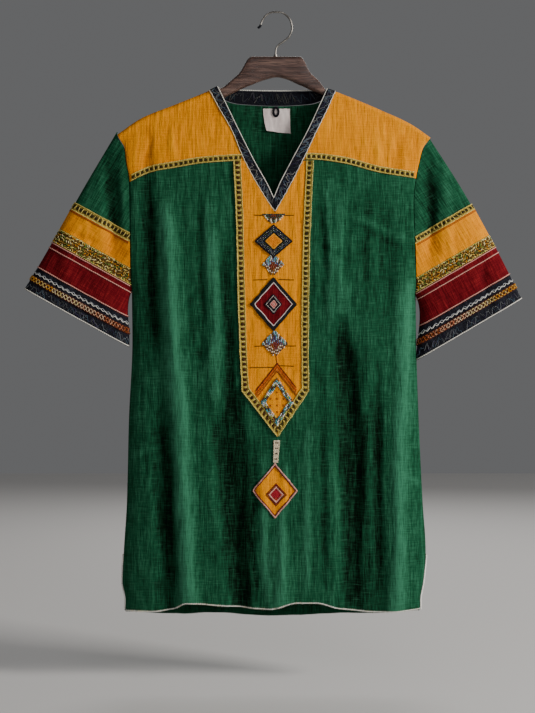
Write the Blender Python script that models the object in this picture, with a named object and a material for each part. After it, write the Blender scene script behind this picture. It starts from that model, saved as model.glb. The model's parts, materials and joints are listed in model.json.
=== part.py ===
"""A v-neck tunic on a board hanger: cut cloth pieces as thin walls, in metres, +Z up, front to -Y.

The origin is the inside top of the hook, where the hanger hangs. Every cloth piece is a wall
lofted through rows of points of one form: the distance of the cloth from the side-seam plane.
"""

import math

import bmesh
import bpy
from mathutils import Vector

NAME = "v_neck_t_shirt"

# Walls and gaps
CLOTH = 0.0012
TRIM = 0.0010
SEAM = 0.0004
LAYER = 0.0004
STEP = 0.00001

# The body's outline in the side-seam plane: height, x of the left side, x of the right side
SIDES = (
    (-0.936, -0.237, 0.223),
    (-0.915, -0.236, 0.223),
    (-0.885, -0.241, 0.228),
    (-0.840, -0.239, 0.232),
    (-0.760, -0.234, 0.227),
    (-0.635, -0.231, 0.221),
    (-0.510, -0.2255, 0.217),
    (-0.448, -0.2262, 0.2163),
    (-0.370, -0.227, 0.214),
    (-0.292, -0.228, 0.212),
    (-0.260, -0.2292, 0.2155),
    (-0.234, -0.234, 0.221),
    (-0.212, -0.237, 0.227),
    (-0.194, -0.247, 0.2393),
    (-0.186, -0.2500, 0.2420),
)
SIDE_POWER = 5.0
SHOULDER_POWER = 14.0
SHOULDER_FALL = 0.100
SLIT_TOP = -0.845
SLIT_GAPE = 0.0030
# Half depth at the shoulder tips, and the height by which the armhole alone sets it
TIP_DEPTH = 0.0060
TIP_LOW = -0.300
TIP_EASE = 0.050
# A height within the armhole, from which the borders of the yokes and the back are found
ARMHOLE_LEVEL = -0.2000

# Shoulder line, carried on over the neck: x, height
SHOULDER = (
    (-0.2500, -0.1904),
    (-0.2106, -0.1640),
    (-0.1560, -0.1420),
    (-0.1065, -0.1216),
    (-0.0939, -0.1152),
    (-0.0750, -0.1080),
    (-0.0400, -0.1010),
    (0.0000, -0.1000),
    (0.0400, -0.1020),
    (0.0620, -0.1090),
    (0.0796, -0.1185),
    (0.0924, -0.1231),
    (0.1680, -0.1545),
    (0.2075, -0.1730),
    (0.2420, -0.1965),
)

# Half depth of the body: drop below the shoulder line, front, back
DEPTHS = (
    (0.000, 0.0080, 0.0080),
    (0.008, 0.0080, 0.0080),
    (0.040, 0.0125, 0.0115),
    (0.120, 0.0190, 0.0150),
    (0.250, 0.0240, 0.0180),
    (0.450, 0.0260, 0.0190),
    (0.800, 0.0240, 0.0170),
)
NOSE = 0.0080

# Vertical folds: x at the top, x at the bottom, top, bottom, half width, height out from the cloth
FRONT_FOLDS = (
    (-0.176, -0.134, -0.265, -0.990, 0.030, 0.0070),
    (-0.204, -0.196, -0.235, -0.560, 0.024, -0.0055),
    (-0.182, -0.168, -0.580, -0.990, 0.024, -0.0060),
    (-0.104, -0.100, -0.260, -0.640, 0.020, 0.0030),
    (-0.092, -0.052, -0.590, -0.990, 0.026, -0.0085),
    (0.003, 0.002, -0.785, -0.990, 0.032, 0.0055),
    (0.104, 0.122, -0.480, -0.990, 0.036, -0.0080),
    (0.151, 0.153, -0.560, -0.990, 0.022, -0.0045),
    (0.200, 0.184, -0.380, -0.990, 0.026, 0.0070),
    (0.086, 0.088, -0.250, -0.520, 0.024, 0.0030),
    (0.166, 0.172, -0.270, -0.500, 0.026, -0.0040),
    (-0.203, -0.200, -0.172, -0.300, 0.020, -0.0050),
)
BACK_FOLDS = (
    (-0.150, -0.162, -0.240, -0.990, 0.030, 0.0060),
    (-0.105, -0.096, -0.330, -0.990, 0.026, -0.0060),
    (-0.045, -0.030, -0.480, -0.990, 0.032, 0.0050),
    (0.030, 0.044, -0.360, -0.990, 0.028, -0.0060),
    (0.095, 0.104, -0.240, -0.990, 0.030, 0.0060),
    (0.155, 0.160, -0.420, -0.990, 0.026, -0.0050),
)
FOLD_FADE = 0.080
# Rows of the front: at the yoke seam and beside the V, then down to the hem; and how far the slant
# of the seam and of the hem carries into the rows next to them
SEAM_LEVEL = -0.2335
NECK_LEVELS = (-0.2530, -0.2730, -0.2930)
HEM_LEVEL = -0.9260
ROW_EASE = 0.120
# Rows of the back stand closer together toward the shoulders
BACK_SPACING = 1.45
# Columns of the back, as shares of the way from a side seam to the neck
BACK_SHARES = (0.0, 0.025, 0.085, 0.20, 0.36, 0.52, 0.68, 0.84, 1.0)

# Edges of the front: x, height of the yoke seam, height of the hem
YOKE_SEAM = (
    (-0.229, -0.2650),
    (-0.195, -0.2500),
    (-0.155, -0.2432),
    (-0.115, -0.2367),
    (-0.067, -0.2335),
    (0.000, -0.2310),
    (0.056, -0.2313),
    (0.102, -0.2367),
    (0.160, -0.2513),
    (0.216, -0.2595),
)
FRONT_HEM = (
    (-0.237, -0.9310),
    (-0.189, -0.9305),
    (-0.160, -0.9260),
    (-0.140, -0.9170),
    (-0.088, -0.9210),
    (-0.012, -0.9260),
    (0.031, -0.9170),
    (0.060, -0.9170),
    (0.097, -0.9260),
    (0.159, -0.9314),
    (0.223, -0.9283),
)
BACK_HEM = (
    (-0.237, -0.9340),
    (-0.150, -0.9400),
    (-0.100, -0.9370),
    (-0.020, -0.9430),
    (0.060, -0.9400),
    (0.150, -0.9380),
    (0.223, -0.9320),
)

# Outer edge of the neck band down each side of the V: height, left x, right x
NECK_EDGE = (
    (-0.3139, -0.0032, -0.0032),
    (-0.2810, -0.0250, 0.0159),
    (-0.2285, -0.0533, 0.0425),
    (-0.1865, -0.0705, 0.0624),
    (-0.1520, -0.0900, 0.0790),
    (-0.1223, -0.1062, 0.0924),
    (-0.1200, -0.1080, 0.0940),
)
# Neck band: share of its length, outer height, inner x and height; the left side, then the right
NECK_BAND = {
    "left": (
        (0.00, -0.1214, -0.0939, -0.1152),
        (0.35, -0.1865, -0.0585, -0.1897),
        (0.56, -0.2298, -0.0379, -0.2309),
        (0.82, -0.2822, -0.0171, -0.2692),
        (1.00, -0.3124, -0.0052, -0.2933),
    ),
    "right": (
        (0.00, -0.1229, 0.0796, -0.1185),
        (0.35, -0.1865, 0.0474, -0.1885),
        (0.56, -0.2266, 0.0259, -0.2286),
        (0.82, -0.2800, 0.0061, -0.2677),
        (1.00, -0.3124, -0.0052, -0.2933),
    ),
}
NECK_TIP = -0.3139
NECK_CORD = 0.0010
# How far, in cord reaches, the cord stands above the band's inner corner at the point of the V
CORD_TIP_RISE = 1.9
# Back neck: x, height of the band's lower edge, height of its upper edge
BACK_NECK = (
    (-0.1062, -0.1214, -0.1152),
    (-0.0850, -0.1330, -0.1180),
    (-0.0600, -0.1400, -0.1200),
    (0.0000, -0.1430, -0.1210),
    (0.0500, -0.1405, -0.1205),
    (0.0750, -0.1330, -0.1200),
    (0.0924, -0.1231, -0.1185),
)

# Placket: height, left edge, right edge, and its pointed end
PLACKET = (
    (-0.5890, -0.0542, 0.0490),
    (-0.5100, -0.0581, 0.0482),
    (-0.3900, -0.0615, 0.0498),
    (-0.3100, -0.0635, 0.0524),
    (-0.2300, -0.0674, 0.0563),
)
PLACKET_SHOULDER = -0.5890
PLACKET_TIP = (0.0006, -0.6595)
PLACKET_BRAID = 0.0110
YOKE_BRAID = 0.0094
# Share of a full mitre at the corner where the placket's braid turns toward the point
BRAID_MITRE = 0.9

# Applied lozenges: name, centre x, centre height, half width, half height, lift
LOZENGES = (
    ("lozenge_dark", -0.0053, -0.3583, 0.0294, 0.0255, 0.0020),
    ("lozenge_red", -0.0056, -0.4555, 0.0355, 0.0410, 0.0020),
    ("lozenge_gold", -0.0014, -0.6046, 0.0236, 0.0345, 0.0020),
    ("pendant", -0.0033, -0.7429, 0.0345, 0.0420, 0.0004),
)
TAB = {"x": -0.0005, "top": -0.6650, "bottom": -0.6996, "half_width": 0.0040}

# Sleeves, each measured from its cuff line: the cuff's outer corner, the slope of the cuff, the
# distance to the top of the cap, and the levels at which the bands meet
SLEEVES = {
    "left": {
        "side": -1,
        "corner": (-0.3920, -0.4321),
        "slope": math.radians(29.0),
        "cap": 0.285,
        "bands": (0.016, 0.026, 0.039, 0.086, 0.109, 0.144, 0.157),
        "edges": (
            (0.000, 0.0000, 0.1827),
            (0.080, 0.0020, 0.1440),
            (0.160, 0.0020, 0.2000),
            (0.285, 0.0050, 0.2650),
        ),
        "folds": (
            (-0.262, -0.246, -0.190, -0.430, 0.022, -0.0055),
            (-0.318, -0.330, -0.300, -0.480, 0.020, 0.0030),
        ),
    },
    "right": {
        "side": 1,
        "corner": (0.3799, -0.4473),
        "slope": math.radians(30.3),
        "cap": 0.295,
        "bands": (0.018, 0.028, 0.042, 0.092, 0.112, 0.158, 0.168),
        "edges": (
            (0.000, 0.0000, 0.1862),
            (0.088, -0.0055, 0.1368),
            (0.186, -0.0080, 0.2080),
            (0.295, -0.0040, 0.2640),
        ),
        "folds": (
            (0.240, 0.236, -0.200, -0.420, 0.022, -0.0055),
            (0.318, 0.330, -0.360, -0.490, 0.020, -0.0035),
        ),
    },
}
# Half depth of a sleeve: distance from the cuff, half depth
SLEEVE_DEPTHS = (
    (0.000, 0.0145),
    (0.080, 0.0150),
    (0.150, 0.0140),
    (0.230, 0.0110),
    (0.295, 0.0090),
)
SLEEVE_POWER = 4.0
# Distance toward the cuff over which a ring's normals are measured
RING_STEP = 0.0020
SLEEVE_STATIONS = (1.0, 0.96, 0.84, 0.60, 0.30, 0.0, -0.30, -0.60, -0.84, -0.96)

# The block that trims a sleeve at its armhole: its lowest and highest line, steps and half depth
ARMHOLE_SPAN = (-0.600, -0.160)
ARMHOLE_STEPS = 44
ARMHOLE_HALF = 0.060
ARMHOLE_GAP = 0.0010

# Hanger: x, top and bottom of the board where it shows; its arms follow the shoulder line
HANGER = (
    (-0.0939, -0.1192, -0.1390),
    (-0.0850, -0.1162, -0.1340),
    (-0.0733, -0.1070, -0.1279),
    (-0.0577, -0.0925, -0.1200),
    (-0.0440, -0.0705, -0.1140),
    (-0.0400, -0.0682, -0.1125),
    (-0.0187, -0.0679, -0.1045),
    (0.0000, -0.0679, -0.1006),
    (0.0125, -0.0679, -0.1030),
    (0.0360, -0.0682, -0.1130),
    (0.0400, -0.0710, -0.1145),
    (0.0515, -0.0925, -0.1200),
    (0.0660, -0.1065, -0.1260),
    (0.0749, -0.1185, -0.1300),
    (0.0796, -0.1225, -0.1380),
)
HANGER_ENDS = (-0.2070, 0.1970)
HANGER_DROP = 0.0019
HANGER_HEIGHT = 0.0185
HANGER_HALF = 0.0062
HANGER_TAPER = 0.0010
TAPER_FROM = 0.100
# Rounded ends of the arms: distance from the end, share of the full section
ARM_ENDS = ((0.000, 0.55), (0.004, 0.85), (0.012, 1.00))
ARM_STEPS = 6
# The hook's centre line: x, height
HOOK = (
    (-0.0300, -0.0235),
    (-0.0268, -0.0215),
    (-0.0235, -0.0130),
    (-0.0160, -0.0028),
    (-0.0050, 0.0014),
    (0.0050, 0.0012),
    (0.0150, -0.0040),
    (0.0215, -0.0130),
    (0.0235, -0.0240),
    (0.0200, -0.0350),
    (0.0110, -0.0440),
    (0.0025, -0.0500),
    (-0.0015, -0.0560),
    (-0.0022, -0.0640),
    (-0.0022, -0.0676),
)
WIRE = 0.0015

# Label and loop inside the back neck: left, right, top, bottom
LABEL = (-0.0218, 0.0204, -0.1475, -0.1859)
LABEL_CURL = 0.0040
LOOP = (-0.0062, 0.0032, -0.1450, -0.1600)

# Linear colours, roughness, metallic
FINISHES = {
    "green_linen": ((0.010, 0.095, 0.045), 0.85, 0.0),
    "yellow_cotton": ((0.80, 0.37, 0.012), 0.80, 0.0),
    "red_cotton": ((0.27, 0.014, 0.016), 0.80, 0.0),
    "charcoal_cotton": ((0.025, 0.026, 0.036), 0.80, 0.0),
    "woven_braid": ((0.55, 0.46, 0.16), 0.75, 0.0),
    "cream_cord": ((0.75, 0.70, 0.58), 0.75, 0.0),
    "white_label": ((0.75, 0.72, 0.68), 0.70, 0.0),
    "walnut": ((0.085, 0.040, 0.028), 0.45, 0.0),
    "steel_wire": ((0.45, 0.43, 0.40), 0.35, 1.0),
}


def clear_scene():
    """Removes the objects that the file opened with."""
    for obj in list(bpy.data.objects):
        bpy.data.objects.remove(obj, do_unlink=True)


def make_materials():
    """One Principled material for each finish."""
    made = {}
    for name, (color, roughness, metallic) in FINISHES.items():
        material = bpy.data.materials.new(name)
        material.use_nodes = True
        shader = material.node_tree.nodes["Principled BSDF"]
        shader.inputs["Base Color"].default_value = (*color, 1.0)
        shader.inputs["Roughness"].default_value = roughness
        shader.inputs["Metallic"].default_value = metallic
        material.diffuse_color = (*color, 1.0)
        made[name] = material
    return made


def read(table, key, column=1):
    """A smooth reading of a table's column with no overshoot, held at its end values."""
    if key <= table[0][0]:
        return table[0][column]
    if key >= table[-1][0]:
        return table[-1][column]
    here = max(row for row in range(len(table) - 1) if table[row][0] <= key)

    def slope(row):
        return (table[row + 1][column] - table[row][column]) / (table[row + 1][0] - table[row][0])

    def tangent(row):
        if row in (0, len(table) - 1):
            return slope(min(row, len(table) - 2))
        before, after = slope(row - 1), slope(row)
        return 0.0 if before * after <= 0 else 2 * before * after / (before + after)

    width = table[here + 1][0] - table[here][0]
    t = (key - table[here][0]) / width
    ends = (1 + 2 * t) * (1 - t) ** 2 * table[here][column] + t * t * (3 - 2 * t) * table[here + 1][column]
    return ends + width * (t * (1 - t) ** 2 * tangent(here) - t * t * (1 - t) * tangent(here + 1))


def mix(a, b, share):
    """The value that lies the given share of the way from a to b."""
    return a + (b - a) * share


def smooth(value):
    """A soft step from 0 to 1, held at both ends."""
    t = min(1.0, max(0.0, value))
    return t * t * (3 - 2 * t)


def bulge(across, power):
    """Height of a flat-fronted section with round ends: 1 in the middle, 0 at -1 and 1."""
    return math.sqrt(max(0.0, 1 - abs(across) ** power))


def fold_height(folds, x, z):
    """How far the folds of a table lift the cloth at a point."""
    total = 0.0
    for x_top, x_bottom, top, bottom, half_width, height in folds:
        middle = mix(x_top, x_bottom, (top - z) / (top - bottom))
        across = abs(x - middle) / half_width
        if across < 1 and bottom < z < top:
            fade = smooth((top - z) / FOLD_FADE) * smooth((z - bottom) / FOLD_FADE)
            total += height * fade * 0.5 * (1 + math.cos(math.pi * across))
    return total


def sleeve_depth(sleeve, x, z):
    """Half depth of a sleeve at a point of the side-seam plane, or 0 outside it."""
    corner_x, corner_z = sleeve["corner"]
    inward, up = -sleeve["side"] * (x - corner_x), z - corner_z
    sine, cosine = math.sin(sleeve["slope"]), math.cos(sleeve["slope"])
    across, along = inward * cosine - up * sine, inward * sine + up * cosine
    if not 0 <= along <= sleeve["cap"]:
        return 0.0
    outer, inner = read(sleeve["edges"], along), read(sleeve["edges"], along, 2)
    place = 2 * (across - outer) / (inner - outer) - 1
    round_depth = bulge(place, SLEEVE_POWER)
    return round_depth * (read(SLEEVE_DEPTHS, along) + fold_height(sleeve["folds"], x, z))


def side_x(side, z):
    """Where the body's outline is at a height: side is "left" or "right"."""
    return read(SIDES, z, 1 if side == "left" else 2)


def edge_depth(side, z):
    """Half depth of the body at its side: the armhole above the underarm, a slit near the hem."""
    armhole = sleeve_depth(SLEEVES[side], side_x(side, z), z)
    slit = SLIT_GAPE * smooth((SLIT_TOP - z) / (SLIT_TOP - SIDES[0][0]))
    tip = TIP_DEPTH * smooth((z - TIP_LOW) / TIP_EASE)
    return max(armhole, slit, tip, SEAM / 2)


def body_depth(face, x, z):
    """Distance of the front or back cloth's outer surface from the side-seam plane."""
    left, right = side_x("left", z), side_x("right", z)
    across = max(-1.0, min(1.0, (2 * x - left - right) / (right - left)))
    drop = max(0.0, read(SHOULDER, x) - z)
    nose = bulge(1 - drop / NOSE, 2.0) if drop < NOSE else 1.0
    flat = bulge(across, mix(SHOULDER_POWER, SIDE_POWER, smooth(drop / SHOULDER_FALL)))
    edge = edge_depth("left" if across < 0 else "right", z) * nose
    full = read(DEPTHS, drop, 1 if face == "front" else 2) * nose
    folds = fold_height(FRONT_FOLDS if face == "front" else BACK_FOLDS, x, z)
    return max(SEAM / 2, mix(edge, full, flat) + folds * flat * nose)


def body_point(face, x, z):
    """A point of the body's outer surface with its outward normal."""
    out = -1 if face == "front" else 1
    slope_x = (body_depth(face, x + STEP, z) - body_depth(face, x - STEP, z)) / (2 * STEP)
    slope_z = (body_depth(face, x, z + STEP) - body_depth(face, x, z - STEP)) / (2 * STEP)
    normal = Vector((-slope_x, out, -slope_z)).normalized()
    return Vector((x, out * body_depth(face, x, z), z)), normal


def sleeve_point(sleeve, along, place, face):
    """A point of a sleeve: distance from the cuff, place across from 1 outside to -1 inside."""
    outer, inner = read(sleeve["edges"], along), read(sleeve["edges"], along, 2)
    across = mix(inner, outer, (place + 1) / 2)
    sine, cosine = math.sin(sleeve["slope"]), math.cos(sleeve["slope"])
    x = sleeve["corner"][0] - sleeve["side"] * (across * cosine + along * sine)
    z = sleeve["corner"][1] - across * sine + along * cosine
    full = read(SLEEVE_DEPTHS, along) + fold_height(sleeve["folds"], x, z)
    return Vector((x, face * bulge(place, SLEEVE_POWER) * full, z))


def sleeve_ring(sleeve, along):
    """One ring of a sleeve as points with normals, from the outer edge over the front and back."""
    back = [-place for place in SLEEVE_STATIONS]
    path = [(place, -1) for place in SLEEVE_STATIONS] + [(place, 1) for place in back]
    ring = [sleeve_point(sleeve, along, place, face) for place, face in path]
    toward_cuff = [sleeve_point(sleeve, along - RING_STEP, place, face) for place, face in path]
    pairs = []
    for n, point in enumerate(ring):
        around = ring[(n + 1) % len(ring)] - ring[n - 1]
        normal = (point - toward_cuff[n]).cross(around).normalized() * sleeve["side"]
        pairs.append((point, normal))
    return pairs


def weld(grids, closed=False):
    """Points, normals and faces of surfaces through rows of (point, normal), joined where they meet."""
    points, normals, faces, numbers = [], [], [], {}

    def number(pair):
        key = tuple(round(value, 6) for value in pair[0])
        if key not in numbers:
            numbers[key] = len(points)
            points.append(pair[0])
            normals.append(pair[1])
        return numbers[key]

    for grid in grids:
        for row, following in zip(grid, grid[1:]):
            count = len(row)
            for n in range(count if closed else count - 1):
                m = (n + 1) % count
                corners = [number(row[n]), number(row[m]), number(following[m]), number(following[n])]
                face = [c for k, c in enumerate(corners) if c != corners[k - 1]]
                if len(face) > 2:
                    faces.append(face)
    return points, normals, faces


def cloth_wall(name, grids, lifts, material, closed=False):
    """A closed wall over a surface, from the first lift along its normals to the second."""
    points, normals, faces = weld(grids, closed)
    mesh_builder = bmesh.new()
    layers = [[mesh_builder.verts.new(p + n * lift) for p, n in zip(points, normals)] for lift in lifts]
    open_edges = set()
    for face in faces:
        for layer in layers:
            mesh_builder.faces.new([layer[corner] for corner in face])
        for k, corner in enumerate(face):
            edge = (face[k - 1], corner)
            if edge[::-1] in open_edges:
                open_edges.remove(edge[::-1])
            else:
                open_edges.add(edge)
    for a, b in sorted(open_edges):
        mesh_builder.faces.new([layers[0][a], layers[0][b], layers[1][b], layers[1][a]])
    bmesh.ops.recalc_face_normals(mesh_builder, faces=mesh_builder.faces)
    return mesh_object(name, mesh_builder, material)


def mesh_object(name, mesh_builder, material):
    """A smooth-shaded object from a bmesh, with one material."""
    mesh = bpy.data.meshes.new(name)
    mesh_builder.to_mesh(mesh)
    mesh_builder.free()
    mesh.shade_smooth()
    mesh.set_sharp_from_angle(angle=math.radians(50))
    if material:
        mesh.materials.append(material)
    return bpy.data.objects.new(name, mesh)


def nose_drops():
    """Drops below the shoulder line at which rows go round the hanger's arm."""
    return [NOSE * (1 - math.cos(math.radians(angle))) for angle in (0, 30, 60, 90)]


def yoke_rows(side):
    """Rows of a shoulder yoke, from the shoulder line down to its seam."""
    band_rows, columns = 6, 12
    column = 1 if side == "left" else 2

    def height(x, row):
        whole = read(SHOULDER, x) - read(YOKE_SEAM, x)
        drops = nose_drops()
        rest = whole - YOKE_BRAID - drops[-1]
        drops += [drops[-1] + rest * (n + 1) / band_rows for n in range(band_rows)] + [whole]
        return read(SHOULDER, x) - drops[row]

    def border(start, edge_of, row):
        x = start
        for _ in range(12):
            x = edge_of(height(x, row))
        return x

    rows = []
    for row in range(len(nose_drops()) + band_rows + 1):
        outside = border(side_x(side, ARMHOLE_LEVEL), lambda z: side_x(side, z), row)
        start = read(NECK_EDGE, ARMHOLE_LEVEL, column)
        inside = border(start, lambda z: read(NECK_EDGE, z, column), row)
        across = [mix(outside, inside, n / columns) for n in range(columns + 1)]
        rows.append([body_point("front", x, height(x, row)) for x in across])
    return rows


def front_levels():
    """Heights of the front's rows on its centre line, with one at the tip of the V."""
    below = 19
    neck = [SEAM_LEVEL, *NECK_LEVELS, NECK_TIP]
    return neck + [mix(NECK_TIP, HEM_LEVEL, (n + 1) / below) for n in range(below)]


def front_height(x, level):
    """Height of a front row at x: it follows the yoke seam at the top and the hem at the bottom."""
    near_top = 1 - smooth((SEAM_LEVEL - level) / ROW_EASE)
    near_hem = 1 - smooth((level - HEM_LEVEL) / ROW_EASE)
    rise = (read(YOKE_SEAM, x) - SEAM - SEAM_LEVEL) * near_top
    return level + rise + (read(FRONT_HEM, x) - HEM_LEVEL) * near_hem


def side_shares():
    """Shares of the way from the side seam to the placket: close together round the side."""
    near = (0.0, 0.020, 0.068, 0.150)
    return list(near) + [mix(near[-1], 1.0, (n + 1) / 9) for n in range(9)]


def placket_edge(side, z):
    """The placket's edge at a height, held below its shoulder."""
    return read(PLACKET, z, 1 if side == "left" else 2)


def centre_x(side, z):
    """Where a half of the front ends: at the neck band's edge, or at the centre line."""
    return read(NECK_EDGE, z, 1 if side == "left" else 2)


def front_rows(side):
    """Rows of one half of the front, from the side to the V or the centre line."""
    rows = []
    for level in front_levels():
        edge_z = front_height(side_x(side, level), level)
        outside, fold_line = side_x(side, edge_z), placket_edge(side, level)
        inside = centre_x(side, front_height(centre_x(side, level), level))
        across = [mix(outside, fold_line, share) for share in side_shares()]
        across += [mix(fold_line, inside, (n + 1) / 3) for n in range(3)]
        rows.append([body_point("front", x, front_height(x, level)) for x in across])
    return in_x_order(rows, side)


def in_x_order(rows, side):
    """Rows that run toward +X, from rows that run from their side to the middle."""
    return rows if side == "left" else [row[::-1] for row in rows]


def neck_ends():
    """Where the back's neckline leaves the shoulder seams, just outside the neck band."""
    return BACK_NECK[0][0] - 4 * SEAM, BACK_NECK[-1][0] + 4 * SEAM


def back_rows():
    """Rows of the back, from the shoulder seams and the back neck down to the hem."""
    below, neck_columns = 20, 12
    rows = []
    for row in range(len(nose_drops()) + below):
        xs = []
        for side, neck_end in zip(("left", "right"), neck_ends()):
            outside = side_x(side, ARMHOLE_LEVEL)
            for _ in range(12):
                outside = side_x(side, back_height(outside, row, below))
            xs.append([mix(outside, neck_end, share) for share in BACK_SHARES])
        bend = [(1 - math.cos(math.pi * n / neck_columns)) / 2 for n in range(1, neck_columns)]
        middle = [mix(xs[0][-1], xs[1][-1], share) for share in bend]
        across = xs[0] + middle + xs[1][::-1]
        rows.append([body_point("back", x, back_height(x, row, below)) for x in across])
    return rows


def back_height(x, row, below):
    """Height of a row of the back at x."""
    left, right = neck_ends()
    top = read(SHOULDER, x)
    if left < x < right:
        on_band = mix(BACK_NECK[0][0], BACK_NECK[-1][0], (x - left) / (right - left))
        top = min(top, read(BACK_NECK, on_band, 1) - 2 * SEAM)
    drops = nose_drops()
    if row < len(drops):
        return top - drops[row]
    share = ((row - len(drops) + 1) / below) ** BACK_SPACING
    return mix(top - drops[-1], read(BACK_HEM, x), share)


def placket_rows(side):
    """Rows of one half of the placket, down to its point."""
    rows = []
    straight = [z for z in front_levels() if z > PLACKET_SHOULDER + 0.01] + [PLACKET_SHOULDER]
    column = 1 if side == "left" else 2
    for z in straight:
        edge, inside = placket_edge(side, z), read(NECK_EDGE, z, column)
        step = PLACKET_BRAID if side == "left" else -PLACKET_BRAID
        across = [edge, edge + step, mix(edge + step, inside, 0.5), inside]
        rows.append([body_point("front", x, z) for x in across])
    point_rows = 4
    for n in range(point_rows):
        share = (n + 1) / point_rows
        z = mix(PLACKET_SHOULDER, PLACKET_TIP[1], share)
        edge = mix(placket_edge(side, PLACKET_SHOULDER), PLACKET_TIP[0], share)
        middle = mix(centre_x(side, PLACKET_SHOULDER), PLACKET_TIP[0], share)
        across = [mix(edge, middle, k / 3) for k in range(4)]
        rows.append([body_point("front", x, z) for x in across])
    return in_x_order(rows, side)


def placket_braid_rows(side):
    """The braid along one edge of the placket and down to its point, as two edges."""
    inward = 1 if side == "left" else -1
    straight = [z for z in front_levels() if z > PLACKET_SHOULDER + 0.01]
    corner = placket_edge(side, PLACKET_SHOULDER)
    run, fall = abs(PLACKET_TIP[0] - corner), PLACKET_SHOULDER - PLACKET_TIP[1]
    slant = math.atan2(fall, run)
    inner_drop = PLACKET_BRAID / math.cos(slant)
    inner_corner_z = PLACKET_SHOULDER + BRAID_MITRE * PLACKET_BRAID * math.tan(slant / 2)
    rows = []
    for z in straight:
        edge = placket_edge(side, z)
        rows.append([(edge, z), (edge + inward * PLACKET_BRAID, z)])
    outer, inner = (corner, PLACKET_SHOULDER), (corner + inward * PLACKET_BRAID, inner_corner_z)
    outer_tip = (PLACKET_TIP[0] - inward * SEAM, PLACKET_TIP[1])
    inner_tip = (PLACKET_TIP[0] - inward * SEAM, PLACKET_TIP[1] + inner_drop)
    for n in range(5):
        share = n / 4
        rows.append(
            [
                tuple(mix(a, b, share) for a, b in zip(outer, outer_tip)),
                tuple(mix(a, b, share) for a, b in zip(inner, inner_tip)),
            ]
        )
    return [[body_point("front", x, z) for x, z in row] for row in rows]


def neck_band_rows(side):
    """Rows across the neck band, from the shoulder to the point of the V."""
    table, inward = NECK_BAND[side], 1 if side == "left" else -1
    shares = [0.003, 0.010, 0.025, 0.05, 0.09] + [mix(0.09, 1.0, (n + 1) / 9) for n in range(9)]
    rows = []
    for share in shares:
        outer_z = read(table, share)
        inner_x, inner_z = read(table, share, 2), read(table, share, 3)
        outer_x = read(NECK_EDGE, outer_z, 1 if side == "left" else 2)
        edge_x = outer_x + inward * 1.5 * SEAM
        if share == shares[-1]:
            edge_x = NECK_EDGE[0][1] - inward * SEAM / 2
            inner_x -= inward * SEAM / 2
        edge, far = (edge_x, outer_z), (inner_x, inner_z)
        across = [tuple(mix(a, b, k / 2) for a, b in zip(edge, far)) for k in range(3)]
        rows.append([body_point("front", x, z) for x, z in across])
    return rows


def back_band_rows():
    """Rows of the neck band round the back of the neck."""
    columns = 20
    rows = []
    for n in range(3):
        across = []
        for k in range(columns + 1):
            share = (1 - math.cos(math.pi * k / columns)) / 2
            low_x = mix(BACK_NECK[0][0], BACK_NECK[-1][0], share)
            top_x = mix(NECK_BAND["left"][0][2], NECK_BAND["right"][0][2], share)
            low, high = read(BACK_NECK, low_x, 1), read(BACK_NECK, top_x, 2)
            across.append(body_point("back", mix(low_x, top_x, n / 2), mix(low, high, n / 2)))
        rows.append(across)
    return rows


def patch_rows(face, corners, steps):
    """Rows of a four-cornered patch: corners are (x, height), round it in order."""
    a, b, c, d = corners
    rows = []
    for n in range(steps + 1):
        start = [mix(p, q, n / steps) for p, q in zip(a, d)]
        end = [mix(p, q, n / steps) for p, q in zip(b, c)]
        across = [[mix(p, q, k / steps) for p, q in zip(start, end)] for k in range(steps + 1)]
        rows.append([body_point(face, x, z) for x, z in across])
    return rows


def box_corners(left, right, top, bottom):
    """Corners of an upright rectangle."""
    return (left, top), (right, top), (right, bottom), (left, bottom)


def make_body(materials):
    """The front, the back and the two yokes."""
    green, yellow = materials["green_linen"], materials["yellow_cotton"]
    base = (-CLOTH, 0.0)
    return [
        cloth_wall("front", [front_rows("left"), front_rows("right")], base, green),
        cloth_wall("back", [back_rows()], base, green),
        cloth_wall("yoke_left", [yoke_rows("left")], base, yellow),
        cloth_wall("yoke_right", [yoke_rows("right")], base, yellow),
    ]


def make_trim(materials):
    """Placket, braids, neck bands, lozenges, tab and pendant."""
    yellow, braid = materials["yellow_cotton"], materials["woven_braid"]
    charcoal, cream = materials["charcoal_cotton"], materials["cream_cord"]
    first, second = (LAYER, LAYER + CLOTH), (2 * LAYER + CLOTH, 2 * LAYER + CLOTH + TRIM)
    made = [cloth_wall("placket", [placket_rows("left"), placket_rows("right")], first, yellow)]
    for side in ("left", "right"):
        made.append(cloth_wall(f"placket_braid_{side}", [placket_braid_rows(side)], second, braid))
        rows = [row[1:-1] for row in yoke_rows(side)[-2:]]
        made.append(cloth_wall(f"yoke_braid_{side}", [rows], (LAYER, LAYER + TRIM), braid))
        band = (-CLOTH, TRIM)
        made.append(cloth_wall(f"neck_band_{side}", [neck_band_rows(side)], band, charcoal))
    made.append(cloth_wall("neck_band_back", [back_band_rows()], (-CLOTH, 0.0), charcoal))
    fabrics = {"lozenge_dark": charcoal, "lozenge_red": materials["red_cotton"]}
    for name, x, z, half_width, half_height, lift in LOZENGES:
        corners = ((x, z + half_height), (x + half_width, z), (x, z - half_height), (x - half_width, z))
        lifts = (lift, lift + TRIM)
        made.append(cloth_wall(name, [patch_rows("front", corners, 4)], lifts, fabrics.get(name, yellow)))
    tab = box_corners(TAB["x"] - TAB["half_width"], TAB["x"] + TAB["half_width"], TAB["top"], TAB["bottom"])
    made.append(cloth_wall("tab", [patch_rows("front", tab, 2)], (LAYER, LAYER + TRIM), cream))
    return made


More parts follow.
